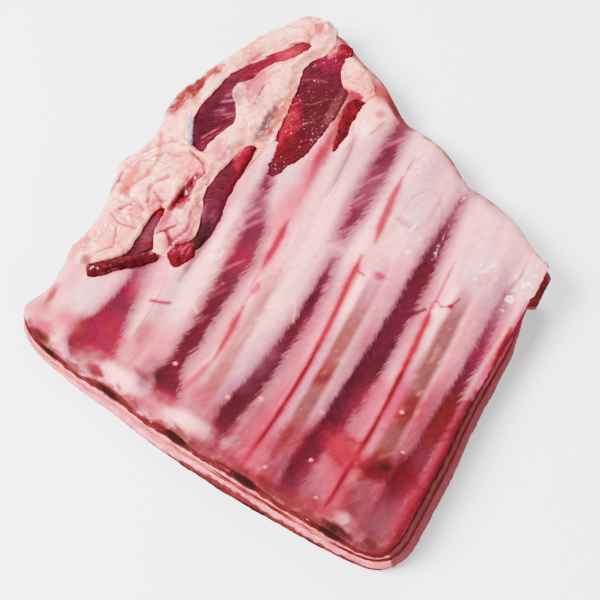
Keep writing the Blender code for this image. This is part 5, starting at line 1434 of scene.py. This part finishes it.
class LAMBRIBS_OT_stage(bpy.types.Operator):
    """Set the floor, the light and the camera"""
    bl_idname = "lamb_ribs.stage"
    bl_label = "Stage"

    def execute(self, context):
        settings = context.scene.lamb_ribs
        bpy.ops.mesh.primitive_plane_add(size=6, location=(0, 0, -0.0002))
        floor = context.object
        floor.name = "floor"
        paper = bpy.data.materials.new("Pale floor")
        paper.use_nodes = True
        shader = paper.node_tree.nodes["Principled BSDF"]
        shader.inputs["Base Color"].default_value = (*settings.floor_colour, 1)
        shader.inputs["Roughness"].default_value = 0.9
        floor.data.materials.append(paper)
        world = bpy.data.worlds.new("Studio")
        world.use_nodes = True
        background = world.node_tree.nodes["Background"]
        background.inputs["Color"].default_value = (1, 1, 1, 1)
        background.inputs["Strength"].default_value = 0.4
        context.scene.world = world
        lamps = (("Key light", (-0.467, -0.378, 0.8), settings.lamp_distance, 0.4, 41.0),
                 ("Fill light", (-0.19, 0.46, 0.78), 1.0, 0.26, 10.0),
                 ("Side light", (0.7, -0.6, 0.5), 1.0, 0.5, 14.0))
        for name, way, away, size, power in lamps:
            light = bpy.data.lights.new(name, "AREA")
            light.size, light.energy = size, power
            lamp = bpy.data.objects.new(name, light)
            lamp.location = Vector(way) * away
            lamp.rotation_euler = (-Vector(way)).to_track_quat("-Z", "Y").to_euler()
            context.scene.collection.objects.link(lamp)
        camera = bpy.data.cameras.new("Camera")
        camera.lens, camera.sensor_width = LENS, 36
        camera.clip_start = 0.01
        eye = bpy.data.objects.new("Camera", camera)
        target = Vector((-PLAN_CENTRE[0] * MM, -PLAN_CENTRE[1] * MM, 0.015))
        eye.location = Vector((EYE[0] - PLAN_CENTRE[0], EYE[1] - PLAN_CENTRE[1], EYE[2])) * MM
        eye.rotation_euler = (target - eye.location).to_track_quat("-Z", "Y").to_euler()
        context.scene.collection.objects.link(eye)
        context.scene.camera = eye
        return {"FINISHED"}


class LAMBRIBS_PT_panel(bpy.types.Panel):
    """Lists the steps that build the lamb ribs"""
    bl_label = "Lamb ribs"
    bl_idname = "LAMBRIBS_PT_panel"
    bl_space_type = "VIEW_3D"
    bl_region_type = "UI"
    bl_category = "Lamb ribs"

    def draw(self, context):
        for step in STEPS:
            self.layout.operator(step.bl_idname)
        for key in LambRibsLooks.__annotations__:
            self.layout.prop(context.scene.lamb_ribs, key)


STEPS = (LAMBRIBS_OT_layers, LAMBRIBS_OT_bones, LAMBRIBS_OT_chest_wall, LAMBRIBS_OT_flap_fat,
         LAMBRIBS_OT_flap_meat, LAMBRIBS_OT_stage)
CLASSES = (LambRibsLooks, *STEPS, LAMBRIBS_PT_panel)


def register():
    for item in CLASSES:
        bpy.utils.register_class(item)
    bpy.types.Scene.lamb_ribs = PointerProperty(type=LambRibsLooks)


def unregister():
    del bpy.types.Scene.lamb_ribs
    for item in reversed(CLASSES):
        bpy.utils.unregister_class(item)


def main():
    register()
    for step in STEPS:
        group, name = step.bl_idname.split(".")
        getattr(getattr(bpy.ops, group), name)()


if __name__ == "__main__":
    main()
